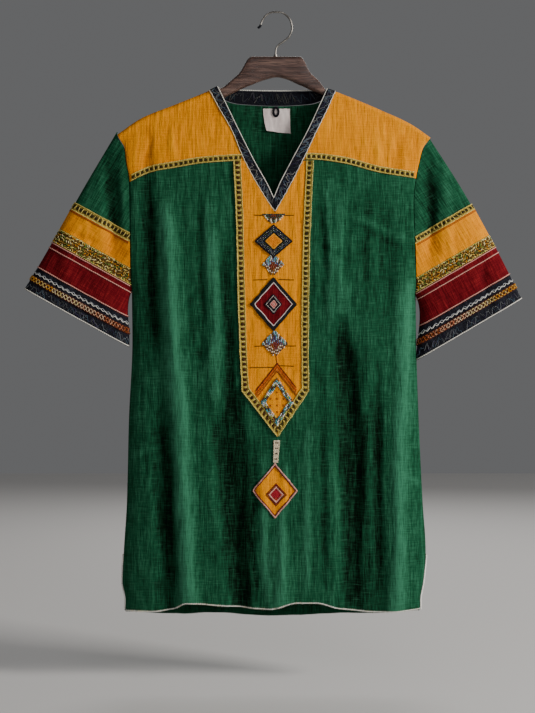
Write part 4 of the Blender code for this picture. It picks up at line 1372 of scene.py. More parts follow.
    def build(self, room: Wardrobe) -> dict[str, Piece]:
        """Builds the four panels and hands them back by name."""
        form, base = room.form, (-CLOTH, 0.0)
        halves = [self.front_half(form, Side.LEFT), self.front_half(form, Side.RIGHT)]
        made = {
            "front": room.wall("front_cloth", halves, base, "green", "green_linen", "front"),
            "back": room.wall("back_cloth", [self.back(form)], base, "green", "green_linen", "back"),
        }
        for side in Side:
            name, grids = f"yoke_{side.word}", [self.yoke(form, side)]
            made[name] = room.wall(f"{name}_cloth", grids, base, "yellow", "yellow_cotton", name)
        return made


@dataclass(frozen=True)
class LadderBraid:
    """A narrow braid: satin knots between pale rungs, with a pale chain along each edge.

    The edges give each chain's share of the way across and its width.
    """

    pitch: float = 0.0078
    knot: float = 0.0034
    chain: float = 0.0026
    edges: tuple[tuple[float, float], ...] = ((0.02, 0.0017), (0.94, 0.0010))

    def embroider(
        self, room: Wardrobe, name: str, strip: Ribbon, width: float, knots: Color = OLIVE
    ) -> Piece:
        """The braid's raised stitches, on a strip that is already lifted to its face."""
        random = np.random.default_rng(len(name))
        marks = Marks()
        runs = np.arange(self.pitch * 0.5, strip.length - self.pitch * 0.3, self.pitch)
        count = len(runs)
        runs = runs + random.uniform(-0.0005, 0.0005, count)
        for offset in (-0.38, 0.0, 0.38):
            share = 0.5 + random.uniform(-0.03, 0.03, count)
            points, normals, headings = strip.at(runs + offset * self.knot, share, 0.0002)
            shade = varied(random, knots, 0.6, 1.9, count)
            size = (width * 0.50, self.knot * 0.46, 0.0011)
            marks.add(points, np.cross(normals, headings), normals, size, shade)
        points, normals, headings = strip.at(runs + self.pitch * 0.5, 0.5, 0.0003)
        lean = unit(np.cross(normals, headings) + headings * random.uniform(-0.35, 0.35, (count, 1)))
        pale = varied(random, YELLOW_THREAD, 0.75, 1.15, count)
        marks.add(points, lean, normals, (width * 0.72, 0.0012, 0.0012), pale)
        for edge, thick in self.edges:
            runs = np.arange(self.chain / 2, strip.length, self.chain)
            share = edge + random.uniform(-0.015, 0.015, len(runs))
            points, normals, headings = strip.at(runs, share, 0.0003)
            pale = varied(random, YELLOW_THREAD, 0.75, 1.25, len(runs))
            size = (self.chain * 1.25, thick, 0.0013)
            marks.add(points, leaning(headings, normals, 0.22), normals, size, pale)
        return room.sewn(name, marks, "woven_braid")

    def build(
        self, room: Wardrobe, name: str, grid: Grid, lifts: tuple[float, float], width: float,
        knots: Color = OLIVE,
    ) -> list[Piece]:
        """Builds the braid's ground and its stitches over a strip of the form."""
        ground = room.wall(f"{name}_ground", [grid], lifts, "ladder", "woven_braid", name)
        face = Ribbon(grid.lifted(lifts[1]))
        return [ground, self.embroider(room, f"{name}_stitches", face, width, knots)]


@dataclass(frozen=True)
class Placket:
    """The yellow strip down the chest, which ends in a point, and the braid along its edges."""

    edges: Curve
    shoulder: float = -0.5890
    tip: tuple[float, float] = (0.0006, -0.6595)
    top: float = -0.2335
    braid: float = 0.0110
    columns: int = 22

    def edge(self, side: Side, z: Array | float) -> Array:
        """The placket's edge at a height."""
        return self.edges.read(z, side.column)

    def half(self, room: Wardrobe, body: BodyCloth, side: Side) -> Grid:
        """One half of the strip, down to its point."""
        straight = np.linspace(self.top, self.shoulder, 110)
        outer, inner = self.edge(side, straight), body.neck_edge.read(straight, side.column)
        share = np.linspace(0.0, 1.0, 25)[1:]
        z = np.concatenate([straight, mix(self.shoulder, self.tip[1], share)])
        outer = np.concatenate([outer, mix(self.edge(side, self.shoulder), self.tip[0], share)])
        inner = np.concatenate([inner, mix(inner[-1], self.tip[0], share)])
        x = mix(outer[:, None], inner[:, None], np.linspace(0.0, 1.0, self.columns)[None])
        if side is Side.RIGHT:
            x = x[:, ::-1]
        return room.form.grid(Face.FRONT, x, z[:, None] * np.ones_like(x), (1.1, 1.7))

    def braid_strip(self, room: Wardrobe, side: Side) -> Grid:
        """The strip of braid down one edge and along the point."""
        inward = -side.value
        corner = float(self.edge(side, self.shoulder))
        slant = math.atan2(self.shoulder - self.tip[1], abs(self.tip[0] - corner))
        straight = np.linspace(self.top, self.shoulder + 0.004, 130)
        inner_corner = (corner + inward * self.braid, self.shoulder + 0.9 * self.braid * math.tan(slant / 2))
        outer_tip = (self.tip[0] - inward * SEAM, self.tip[1])
        inner_tip = (self.tip[0] - inward * SEAM, self.tip[1] + self.braid / math.cos(slant))
        share = np.linspace(0.0, 1.0, 34)[:, None]
        outer = np.stack([self.edge(side, straight), straight], axis=1)
        inner = outer + [inward * self.braid, 0.0]
        keep = inner[:, 1] > inner_corner[1]
        outer_end = mix(np.array([corner, self.shoulder]), np.array(outer_tip), share)
        outer = np.concatenate([outer[keep], outer_end])
        inner = np.concatenate([inner[keep], mix(np.array(inner_corner), np.array(inner_tip), share)])
        places = mix(outer[None], inner[None], np.linspace(0.0, 1.0, 5)[:, None, None])
        return ribboned(room.form.grid(Face.FRONT, places[..., 0], places[..., 1]))

    def build(self, room: Wardrobe, body: BodyCloth) -> tuple[Piece, list[Piece]]:
        """Builds the strip and its braids."""
        halves = [self.half(room, body, side) for side in Side]
        lifts = (LAYER, LAYER + CLOTH)
        strip = room.wall("placket_cloth", halves, lifts, "yellow", "yellow_cotton", "placket")
        trims = []
        low = 2 * LAYER + CLOTH
        for side, knots in ((Side.LEFT, CHESTNUT), (Side.RIGHT, OLIVE)):
            name, grid = f"placket_braid_{side.word}", self.braid_strip(room, side)
            trims += LadderBraid().build(room, name, grid, (low - 0.0003, low + BRAID), self.braid, knots)
        return strip, trims


@dataclass(frozen=True)
class LooseThread:
    """How a wandering thread is broken up.

    The lengths and gaps are counts of points, the shades are shares of the thread's own tint, and
    the margin is the share of the band that it keeps clear of.
    """

    lengths: tuple[int, int]
    gaps: tuple[int, int]
    shades: tuple[float, float]
    margin: float
    # A share that dims every length of the thread; below 1 it is painted shade.
    light: float = 1.0
    step: float = 0.0016
    lift: float = 0.0002

    def paths(self, strip: Ribbon, run: Array, share: Array, tint: Color, random: Random) -> list[Path]:
        """The lengths of one thread over a strip."""
        held = np.clip(share, self.margin, 1 - self.margin)
        made, start = [], 0
        while start < len(run) - 4:
            stop = min(len(run), start + int(random.integers(*self.lengths)))
            if stop - start > 3:
                shade = tuple(np.array(tint) * random.uniform(*self.shades) * self.light)
                made.append(strip.path(run[start:stop], held[start:stop], self.lift, shade))
            start = stop + int(random.integers(*self.gaps))
        return made


@dataclass(frozen=True)
class NeckBand:
    """The charcoal band round the neck, its white piping, and the loose stitching over it.

    Each side has rows of the share of its length, the outer height, and the inner x and height.
    """

    rows: dict[Side, Curve]
    tip_x: float = -0.0032
    cord: float = 0.00075
    tip_rise: float = 1.9

    def side_grid(self, room: Wardrobe, body: BodyCloth, side: Side) -> Grid:
        """The band from a shoulder to the point of the V, with its rows across it."""
        table, inward = self.rows[side], -side.value
        share = np.concatenate([np.linspace(0.003, 0.05, 8), np.linspace(0.055, 1.0, 84)])
        outer_z = table.read(share)
        inner = np.stack([table.read(share, 2), table.read(share, 3)], axis=1)
        edge_x = body.neck_edge.read(outer_z, side.column) + inward * 1.5 * SEAM
        edge_x[-1] = self.tip_x - inward * SEAM / 2
        inner[-1, 0] -= inward * SEAM / 2
        outer = np.stack([edge_x, outer_z], axis=1)
        places = mix(outer[None], inner[None], np.linspace(0.0, 1.0, 7)[:, None, None])
        return ribboned(room.form.grid(Face.FRONT, places[..., 0], places[..., 1]))

    def back_grid(self, room: Wardrobe, body: BodyCloth) -> Grid:
        """The band round the back of the neck."""
        share = (1 - np.cos(np.linspace(0.0, math.pi, 90))) / 2
        low_x = mix(body.back_neck.rows[0][0], body.back_neck.rows[-1][0], share)
        top_x = mix(self.rows[Side.LEFT].rows[0][2], self.rows[Side.RIGHT].rows[0][2], share)
        low = np.stack([low_x, body.back_neck.read(low_x)], axis=1)
        high = np.stack([top_x, body.back_neck.read(top_x, 2)], axis=1)
        places = mix(low[None], high[None], np.linspace(0.0, 1.0, 6)[:, None, None])
        return ribboned(room.form.grid(Face.BACK, places[..., 0], places[..., 1]))

    def scribbles(self, strip: Ribbon, seed: int, light: float = 1.0) -> list[Path]:
        """Loose wandering threads down a band, in pale blue, silver and violet, dimmed as painted shade where
        the light share is below 1.
        """
        random = np.random.default_rng(seed)
        loose = LooseThread((7, 26), (6, 22), (0.10, 0.46), 0.10, light)
        paths = []
        for n, tint in enumerate((SKY, SILVER, WHITE, VIOLET, SILVER, SKY)):
            run = np.arange(0.004, strip.length - 0.004, loose.step)
            slow = 0.30 * np.sin(run * random.uniform(300, 520) + n)
            sway = slow + 0.16 * np.sin(run * random.uniform(760, 1100) + 2 * n)
            share = 0.5 + sway + 0.06 * random.standard_normal(len(run))
            paths += loose.paths(strip, run, share, tint, random)
        return paths

    def piping(self, room: Wardrobe, body: BodyCloth) -> Path:
        """The corded edge's line: down the V, up again and round the back of the neck."""
        reach = self.cord + SEAM
        points, normals = [], []
        for side, order in ((Side.LEFT, 1), (Side.RIGHT, -1)):
            share = np.concatenate([[0.003, 0.012, 0.035], np.linspace(0.06, 1.0, 80)])[::order]
            table = self.rows[side]
            x = table.read(share, 2) - side.value * reach * (1 - smooth((share - 0.8) / 0.2))
            z = table.read(share, 3) + reach * smooth((share - 0.6) / 0.4) * self.tip_rise
            grid = room.form.grid(Face.FRONT, x[None], z[None])
            start = 1 if side is Side.RIGHT else 0
            points.append(grid.points[0, start:])
            normals.append(grid.normals[0, start:])
        first, last = self.rows[Side.RIGHT].rows[0][2], self.rows[Side.LEFT].rows[0][2]
        share = (1 - np.cos(np.linspace(0.0, math.pi, 64))) / 2
        x = mix(first + reach, last - reach, share)
        grid = room.form.grid(Face.BACK, x[None], body.back_neck.read(x, 2)[None] + reach)
        points.append(grid.points[0])
        normals.append(grid.normals[0])
        return Path(np.concatenate(points), np.concatenate(normals), WHITE, True)

    def build(self, room: Wardrobe, body: BodyCloth) -> tuple[list[Piece], list[Piece]]:
        """Builds the band's three lengths and what is sewn on them."""
        cloth, slot = "charcoal", "charcoal_cotton"
        bands, loose, edge = [], [], []
        for side, tint in ((Side.LEFT, CREAM), (Side.RIGHT, WHITE)):
            name, grid = f"neck_band_{side.word}", self.side_grid(room, body, side)
            bands.append(room.wall(f"{name}_cloth", [grid], (-CLOTH, TRIM), cloth, slot, name))
            face = Ribbon(grid.lifted(TRIM))
            loose += self.scribbles(face, 11 + side.value)
            run = np.arange(0.001, face.length, 0.0012)
            edge.append(face.path(run, 0.03 + 0.02 * np.sin(run * 700), 0.0001, tint))
        back = self.back_grid(room, body)
        bands.append(room.wall("neck_band_back_cloth", [back], (-CLOTH, 0.0), cloth, slot, "neck_band_back"))
        inside = Ribbon(Grid(back.points - back.normals * CLOTH, -back.normals, back.cut, back.wear))
        # Painted shade: the threads inside the back band are dimmed to under half their tint.
        loose += self.scribbles(inside, 31, 0.45)
        loose += self.scribbles(Ribbon(back), 32)
        cord = self.piping(room, body)
        trims = [
            room.threads("neck_scribbles", loose, 0.00042, "yarn", "cream_cord", sides=5),
            room.threads("neck_edge_thread", edge, 0.00062, "yarn", "cream_cord"),
            room.threads("neck_piping", [cord], self.cord, "cord", "cream_cord", "neck_cord", sides=10),
        ]
        return bands, trims


@dataclass(frozen=True)
class Band:
    """A band sewn round a sleeve, between two distances from the cuff line.

    The layer is 1 on the sleeve and 2 on another band, and the thickness is a share of a trim's.
    """

    name: str
    low: float
    high: float
    rows: int
    cloth: str
    slot: str = "woven_braid"
    layer: int = 1
    thickness: float = 1.0

    @property
    def lifts(self) -> tuple[float, float]:
        """The lifts of its hidden and shown sides over the sleeve."""
        low = 2 * LAYER + (self.layer - 1) * (TRIM + LAYER)
        return low, low + TRIM * self.thickness


@dataclass(frozen=True)
class BandedSleeve:
    """A set-in sleeve with the bands and braids sewn round it."""

    side: Side
    stations: int = 76
    rows: int = 104

    def grid(self, room: Wardrobe, low: float, high: float, rows: int) -> Grid:
        """A band between two distances from the cuff line."""
        return room.form.sleeve_grid(self.side, (low + SEAM / 2, high - SEAM / 2), self.stations, rows)

    def line(
        self, strip: Ribbon, share: float, lift: float, tint: Color, sway: float = 0.0, pitch: float = 0.012
    ) -> Path:
        """A thread round the sleeve at a share of a band's width, straight or waving."""
        run = np.arange(0.0012, strip.length - 0.001, 0.0014 if sway else 0.0022)
        wave = share + sway * np.sin(run * 2 * math.pi / pitch) + 0.2 * sway * np.sin(run * 5.3 / pitch)
        return strip.path(run, np.clip(wave, 0.0, 1.0), lift, tint)

    def lattice(self, room: Wardrobe, name: str, strip: Ribbon, width: float) -> Piece:
        """The wide gold braid's raised loops: slanting satin stitches with dark gaps."""
        random = np.random.default_rng(41 + self.side.value)
        marks = Marks()
        pale, straw, dull = (0.72, 0.60, 0.20), (0.78, 0.68, 0.36), (0.46, 0.27, 0.05)
        palette = np.array([pale, (0.62, 0.42, 0.09), straw, GOLD, dull, LEAF])
        rows = max(4, int(width / 0.0040))
        for row in range(rows):
            runs = np.arange(0.002, strip.length - 0.001, 0.0034)
            count = len(runs)
            runs = runs + random.uniform(-0.0009, 0.0009, count)
            share = (row + 0.5) / rows + random.uniform(-0.05, 0.05, count)
            points, normals, headings = strip.at(runs, share, 0.0004)
            turn = random.uniform(0.35, 1.05, (count, 1)) * (1 if row % 2 else -1)
            turn = turn * np.where(random.random((count, 1)) < 0.22, -1.0, 1.0)
            lean = unit(headings * np.cos(turn) + np.cross(normals, headings) * np.sin(turn))
            tint = varied(random, palette[random.integers(0, len(palette), count)], 0.75, 1.2, count)
            marks.add(points, lean, normals, (0.0054, 0.0015, 0.0016), tint)
        for share in (0.035, 0.965):
            runs = np.arange(0.001, strip.length, 0.0030)
            points, normals, headings = strip.at(runs, share, 0.0004)
            tint = varied(random, YELLOW_THREAD, 0.8, 1.2, len(runs))
            marks.add(points, leaning(headings, normals, 0.3), normals, (0.0034, 0.0015, 0.0015), tint)
        return room.sewn(name, marks, "woven_braid")

    def twine(self, room: Wardrobe, name: str, strip: Ribbon, width: float) -> Piece:
        """The cuff's braid: two twined strands, from gold outside to cream and red-brown inside."""
        random = np.random.default_rng(51 + self.side.value)
        marks = Marks()
        middle = strip.length / 2
        shades = np.array([
            GOLD, (0.60, 0.46, 0.16), (0.70, 0.58, 0.28), (0.68, 0.58, 0.40),
            (0.70, 0.52, 0.36), (0.66, 0.38, 0.24), (0.55, 0.20, 0.10), RUST,
        ])
        period, reach = 0.0112, 0.33
        runs = np.arange(0.002, strip.length - 0.001, 0.0012)
        share = np.abs(runs - middle) / middle
        index = (share * len(shades)).astype(int) + random.integers(-1, 2, len(runs))
        index = np.clip(index, 0, len(shades) - 1)
        for start in (0.0, math.pi):
            turn = runs * 2 * math.pi / period + start + 0.5 * np.sin(runs * 130.0)
            points, normals, headings = strip.at(runs, 0.5 + reach * np.sin(turn), 0.0003)
            slope = (reach * width * 2 * math.pi / period * np.cos(turn))[:, None]
            tint = varied(random, shades[index], 0.75, 1.15, len(runs))
            marks.add(points, leaning(headings, normals, slope), normals, (0.0025, 0.0014, 0.0016), tint)
        return room.sewn(name, marks, "woven_braid")

    def scribbles(self, strip: Ribbon, seed: int) -> list[Path]:
        """Loose grey-blue stitching over the charcoal cuff."""
        random = np.random.default_rng(seed)
        loose = LooseThread((6, 18), (2, 12), (0.15, 0.60), 0.08)
        paths = []
        for tint in (SILVER, SKY, VIOLET, SILVER):
            run = np.arange(0.003, strip.length - 0.003, loose.step)
            slow = 0.45 + 0.26 * np.sin(run * random.uniform(350, 620))
            share = slow + 0.14 * np.sin(run * random.uniform(800, 1300) + 1)
            paths += loose.paths(strip, run, share, tint, random)
        return paths

    def sew_band(self, room: Wardrobe, band: Band) -> tuple[Piece, Ribbon]:
        """Sews a band on, and hands back its shown face too. A braid is woven along its own run."""
        grid = self.grid(room, band.low, band.high, band.rows)
        shown = ribboned(grid) if band.slot == "woven_braid" else grid
        name = f"{band.name}_{self.side.word}"
        piece = room.wall(f"{name}_cloth", [shown], band.lifts, band.cloth, band.slot, name)
        return piece, Ribbon(grid.lifted(band.lifts[1]))

    def build(self, room: Wardrobe) -> tuple[Piece, list[Piece]]:
        """Builds the sleeve, its bands and what is sewn on them."""
        side, sizes = self.side.word, room.form.sleeves[self.side]
        multi_low, multi_high, red_low, gold_low, yellow_low, narrow_low, top = sizes.levels
        name, shell = f"sleeve_{side}", self.grid(room, 0.0, sizes.cap, self.rows)
        sleeve = room.wall(f"{name}_cloth", [shell], (-CLOTH, 0.0), "green", "green_linen", name)
        trims, faces = [], {}
        for band in (
            Band("cuff", 0.0, red_low, 14, "charcoal", "charcoal_cotton"),
            Band("cuff_braid", multi_low, multi_high, 4, "multi", layer=2, thickness=0.6),
            Band("red_band", red_low, gold_low, 18, "red", "red_cotton"),
            Band("gold_braid", gold_low, yellow_low, 9, "lattice", thickness=0.7),
            Band("yellow_band", yellow_low, narrow_low, 14, "yellow", "yellow_cotton"),
            Band("narrow_braid", narrow_low, top, 5, "ladder", thickness=0.7),
        ):
            piece, faces[band.name] = self.sew_band(room, band)
            trims.append(piece)
        twined, gold, narrow = faces["cuff_braid"], faces["gold_braid"], faces["narrow_braid"]
        ladder = LadderBraid(pitch=0.0070)
        trims += [
            self.twine(room, f"cuff_braid_{side}_stitches", twined, multi_high - multi_low),
            self.lattice(room, f"gold_braid_{side}_stitches", gold, yellow_low - gold_low),
            ladder.embroider(room, f"narrow_braid_{side}_stitches", narrow, top - narrow_low),
        ]
        cuff, red, yellow = faces["cuff"], faces["red_band"], faces["yellow_band"]
        piping = [self.line(cuff, 0.03, 0.0004, WHITE)]
        piping += [self.line(red, share, 0.0004, PINK) for share in (0.03, 0.79, 0.97)]
        fine = [
            self.line(cuff, (multi_high + 0.006) / red_low, 0.0003, SILVER, 0.035, 0.011),
            self.line(cuff, (multi_high + 0.0045) / red_low, 0.0003, WHITE, 0.030, 0.009),
            *(self.line(yellow, share, 0.0002, RUST) for share in (0.965, 0.930)),
        ]
        hem = Ribbon(self.grid(room, 0.001, multi_low, 4).lifted(2 * LAYER + TRIM))
        loose = self.scribbles(hem, 61 + self.side.value)
        trims += [
            room.threads(f"sleeve_piping_{side}", piping, 0.00085, "cord", "cream_cord", sides=8),
            room.threads(f"sleeve_lines_{side}", fine, 0.00062, "yarn", "cream_cord", sides=5),
            room.threads(f"cuff_scribbles_{side}", loose, 0.00040, "yarn", "cream_cord", sides=5),
        ]
        return sleeve, trims


@dataclass(frozen=True)
class Diamond:
    """A diamond in the side-seam plane, by its centre and half sizes."""

    x: float
    z: float
    half_width: float
    half_height: float

    def outline(self, size: float = 1.0) -> list[tuple[float, float]]:
        """Its corners at a share of its size, from the top round by the right, closed."""
        x, z, wide, high = self.x, self.z, self.half_width * size, self.half_height * size
        return [(x, z + high), (x + wide, z), (x, z - high), (x - wide, z), (x, z + high)]

    def ring(self, room: Wardrobe, size: float, step: float, lift: float, tint: Color) -> Path:
        """A thread round the diamond at a share of its size."""
        points, normals, _ = room.trace(Face.FRONT, self.outline(size), step, lift)
        return Path(points[:-1], normals[:-1], tint, True)


@dataclass(frozen=True)
class Lozenge(Diamond):
    """An applied diamond of cloth, on the placket or under its point."""

    name: str
    cloth: str
    slot: str
    lift: float = 0.0020

    def patch(self, room: Wardrobe, steps: int = 26) -> Grid:
        """The diamond as rows of points on the cloth's form."""
        share = np.linspace(0.0, 1.0, steps + 1)
        a, b, c, d = (np.array(corner) for corner in self.outline()[:4])
        down, over = share[:, None, None], share[None, :, None]
        places = (1 - down) * ((1 - over) * a + over * b) + down * ((1 - over) * d + over * c)
        return room.form.grid(Face.FRONT, places[..., 0], places[..., 1], (0.3, 0.8))

    def build(self, room: Wardrobe) -> Piece:
        """Builds the patch of cloth."""
        lifts = (self.lift, self.lift + TRIM)
        return room.wall(f"{self.name}_cloth", [self.patch(room)], lifts, self.cloth, self.slot, self.name)


@dataclass(frozen=True)
class Motifs:
    """What is sewn down the middle of the placket: beads, lozenges, brown lines, a chevron, a tab."""

    dark: Lozenge
    red: Lozenge
    gold: Lozenge
    pendant: Lozenge
    centre: Diamond = Diamond(-0.0053, -0.3583, 0.0128, 0.0122)
    square: Diamond = Diamond(-0.0056, -0.4555, 0.0128, 0.0148)
    inner: Diamond = Diamond(-0.0017, -0.7490, 0.0165, 0.0175)
    tab_top: float = -0.6650
    tab_bottom: float = -0.6996
    tab_x: float = -0.0005
    tab_lean: float = 0.0018
    ground: float = LAYER + CLOTH
    bead: float = 0.0026

    def bead_rings(self, room: Wardrobe, marks: Marks, bead: float = 0.0029) -> None:
        """Rings of seed beads round the gold lozenge, one inside another."""
        random = np.random.default_rng(81)
        dusky, deep, lime = (0.62, 0.72, 0.70), (0.02, 0.20, 0.26), (0.34, 0.40, 0.08)
        palette = np.array([WHITE, TEAL, BLACK, dusky, deep, BLACK, lime])
        lift = self.gold.lift + TRIM + bead * 0.32
        for size in (0.98, 0.87, 0.76):
            traced = room.trace(Face.FRONT, self.gold.outline(size), bead * 0.96, lift)
            points, normals, headings = (values[:-1] for values in traced)
            points = points + random.uniform(-0.00018, 0.00018, points.shape)
            order = (np.arange(len(points)) // 2 + int(size * 10)) % len(palette)
            tint = varied(random, palette[order], 0.75, 1.15, len(points))
            marks.add(points, headings, normals, (bead * 0.9, bead, bead * 0.9), tint)

    def bead_lozenge(self, room: Wardrobe, marks: Marks, place: Diamond, seed: int) -> None:
        """A small diamond filled with rows of beads: pale above, blue at the sides, red within."""
        random = np.random.default_rng(seed)
        bead, wide, high = self.bead, place.half_width, place.half_height
        for row in np.arange(-high, high + bead / 2, bead * 0.92):
            reach = wide * (1 - abs(row) / (high + bead))
            count = max(1, int(2 * reach / bead) + 1)
            x = place.x + (np.linspace(-reach, reach, count) if count > 1 else np.zeros(1))
            points, normals = room.level(x, place.z + row, self.ground + bead * 0.35)
            aside = np.abs(x - place.x) / wide
            chance = random.random(count)
            core = aside + abs(row + 0.12 * high) / high < 0.42
            upper = row > -0.15 * high
            turn = (np.arange(count) + int(round(row / bead))) % 4
            rim = np.array([TEAL, (0.66, 0.74, 0.72), BLACK, PALE_BLUE])[turn]
            lower = np.where((turn < 2)[:, None], np.array(CREAM), np.array((0.05, 0.02, 0.02)))
            middle = np.where((chance < 0.5)[:, None], np.array(NAVY), np.array(PALE_BLUE))
            within = (aside + abs(row) / high < 0.66) & upper
            tint = np.where(within[:, None], middle, rim if upper else lower)
            tint = np.where(core[:, None], np.array((0.17, 0.006, 0.016)), tint)
            heading = np.broadcast_to([1.0, 0.0, 0.0], (count, 3))
            tint = varied(random, tint, 0.7, 1.15, count)
            marks.add(points, heading, normals, (bead * 0.9, bead, bead * 0.9), tint)

    def bead_triangle(self, room: Wardrobe, marks: Marks, pitch: float = 0.0027) -> None:
        """Level rows of beads under the point of the V, which narrow downward."""
        random = np.random.default_rng(84)
        rows = (
            ("ddgdddmdddgdd", -0.3168),
            ("wdddmmmdddw", -0.3194),
            ("wgddddddgw", -0.3220),
            ("wdwddwdw", -0.3246),
            ("dwdgwd", -0.3270),
            ("wdw", -0.3292),
        )
        shades = {"d": (0.006, 0.018, 0.014), "w": CREAM, "g": (0.020, 0.150, 0.100), "m": MAROON}
        for pattern, z in rows:
            count = len(pattern)
            x = -0.0055 + (np.arange(count) - (count - 1) / 2) * pitch
            points, normals = room.level(x, z, self.ground + 0.0009)
            tint = varied(random, [shades[letter] for letter in pattern], 0.7, 1.2, count)
            heading = np.broadcast_to([1.0, 0.0, 0.0], (count, 3))
            marks.add(points, heading, normals, (0.0028, pitch, 0.0024), tint)

    def build_beads(self, room: Wardrobe) -> Piece:
        """Builds all the beading in one piece."""
        marks = Marks()
        self.bead_rings(room, marks)
        self.bead_lozenge(room, marks, Diamond(-0.0063, -0.3940, 0.0160, 0.0150), 82)
        self.bead_lozenge(room, marks, Diamond(-0.0036, -0.5160, 0.0195, 0.0175), 83)
        self.bead_triangle(room, marks)
        return room.sewn("bead_work", marks, "cream_cord", Mark.BEAD, "beads", 0.10)

    def rings(self, room: Wardrobe) -> list[Path]:
        """The threads couched round the lozenges, one inside another."""
        top = self.dark.lift + TRIM + 0.0003
        made = [self.dark.ring(room, size, 0.0012, top, INK) for size in np.linspace(0.975, 0.54, 8)]
        for n, size in enumerate(np.linspace(0.08, 0.96, 9)):
            tint = (0.80, 0.30, 0.002) if n % 2 else (0.62, 0.17, 0.004)
            tint = (0.70, 0.34, 0.03) if n == 8 else tint
            made.append(self.centre.ring(room, size, 0.0010, top, tint))
        made += [self.red.ring(room, size, 0.0012, top, BLACK) for size in (1.0, 0.966, 0.932, 0.898, 0.864)]
        made.append(self.red.ring(room, 0.822, 0.0012, top, (0.72, 0.60, 0.56)))
        made += [self.square.ring(room, size, 0.0010, top, INK) for size in (1.0, 0.70, 0.56)]
        for size, tint in ((0.42, PINK), (0.28, (0.52, 0.12, 0.11)), (0.14, PINK)):
            made.append(self.square.ring(room, size, 0.0008, top, tint))
        return made

    def build_threads(self, room: Wardrobe) -> list[Piece]:
        """Builds the couched threads: the level brown lines and the rings."""
        lines = (
            ((-0.0357, -0.3181), (-0.0218, -0.3184)),
            ((0.0105, -0.3184), (0.0261, -0.3181)),
            ((-0.0364, -0.4180), (-0.0150, -0.4174)),
            ((0.0030, -0.4172), (0.0261, -0.4180)),
            ((-0.0341, -0.5202), (-0.0200, -0.5197)),
            ((0.0125, -0.5197), (0.0292, -0.5197)),
            ((-0.0418, -0.5532), (-0.0060, -0.5526)),
            ((0.0030, -0.5500), (0.0261, -0.5508)),
        )
        traced = [room.trace(Face.FRONT, line, 0.0012, self.ground + 0.0003) for line in lines]
        fine = [Path(points, normals, BROWN) for points, normals, _ in traced]
        return [
            room.threads("couched_fine", fine, 0.00060, "yarn", "cream_cord"),
            room.threads("couched_thick", self.rings(room), 0.00085, "yarn", "cream_cord"),
        ]

    def chevron(self, room: Wardrobe, marks: Marks, random: Random) -> None:
        """The strands that run down both ways from an apex, and the short tail above it."""
        top, apex = self.ground + 0.0004, (0.0, -0.5475)
        flame, amber = (0.50, 0.10, 0.012), (0.70, 0.24, 0.03)
        drops = (0.0010, -0.0020, -0.0050, -0.0080, -0.0110)
        for end in ((-0.0326, -0.5892), (0.0292, -0.5846)):
            for n, (drop, shade) in enumerate(zip(drops, (MAROON, ORANGE, flame, amber, RUST))):
                line = (apex[0], apex[1] + drop), (end[0], end[1] + drop)
                points, normals, headings = room.trace(Face.FRONT, line, 0.0019, top)
                lean = leaning(headings, normals, 0.9 if n % 2 else -0.9)
                tint = varied(random, shade, 0.65, 1.25, len(points))
                marks.add(points, lean, normals, (0.0037, 0.0013, 0.0013), tint)
        points, normals, headings = room.trace(Face.FRONT, ((-0.0020, -0.5330), apex), 0.0026, top)
        marks.add(points, headings, normals, (0.0032, 0.0016, 0.0014), MAROON)

    def dots(self, room: Wardrobe, marks: Marks, random: Random) -> None:
        """The running stitches round the red lozenge's square and over the dark lozenge's rings."""
        top = self.red.lift + TRIM + 0.0006
        points, normals, headings = room.trace(Face.FRONT, self.square.outline(0.86), 0.0022, top)
        marks.add(points, headings, normals, (0.0017, 0.0013, 0.0013), WHITE)
        shades = np.array([SILVER, WHITE, SKY, LEAF, SILVER, VIOLET]) * 0.9
        top = self.dark.lift + TRIM + 0.0011
        for size in (0.86, 0.75, 0.64):
            points, normals, headings = room.trace(Face.FRONT, self.dark.outline(size), 0.0027, top)
            tint = shades[random.integers(0, 6, len(points))]
            marks.add(points, headings, normals, (0.0017, 0.0008, 0.0008), tint)

    def crosses(self, room: Wardrobe, marks: Marks) -> None:
        """The small crossed stitches in the field of the gold lozenge."""
        top = self.gold.lift + TRIM + 0.0003
        places = [(across, up) for across in (-0.40, 0.0, 0.40) for up in (-0.42, -0.14, 0.14, 0.42)]
        for across, up in places:
            if abs(across) + abs(up) > 0.62:
                continue
            x, z = self.gold.x + across * self.gold.half_width, self.gold.z + up * self.gold.half_height
            for slant in (0.0015, -0.0015):
                line = ((x - slant, z - 0.0017), (x + slant, z + 0.0017))
                points, normals, headings = room.trace(Face.FRONT, line, 0.01, top)
                middle = points.mean(axis=0, keepdims=True)
                marks.add(middle, headings[:1], normals[:1], (0.0046, 0.0011, 0.0010), RUST)

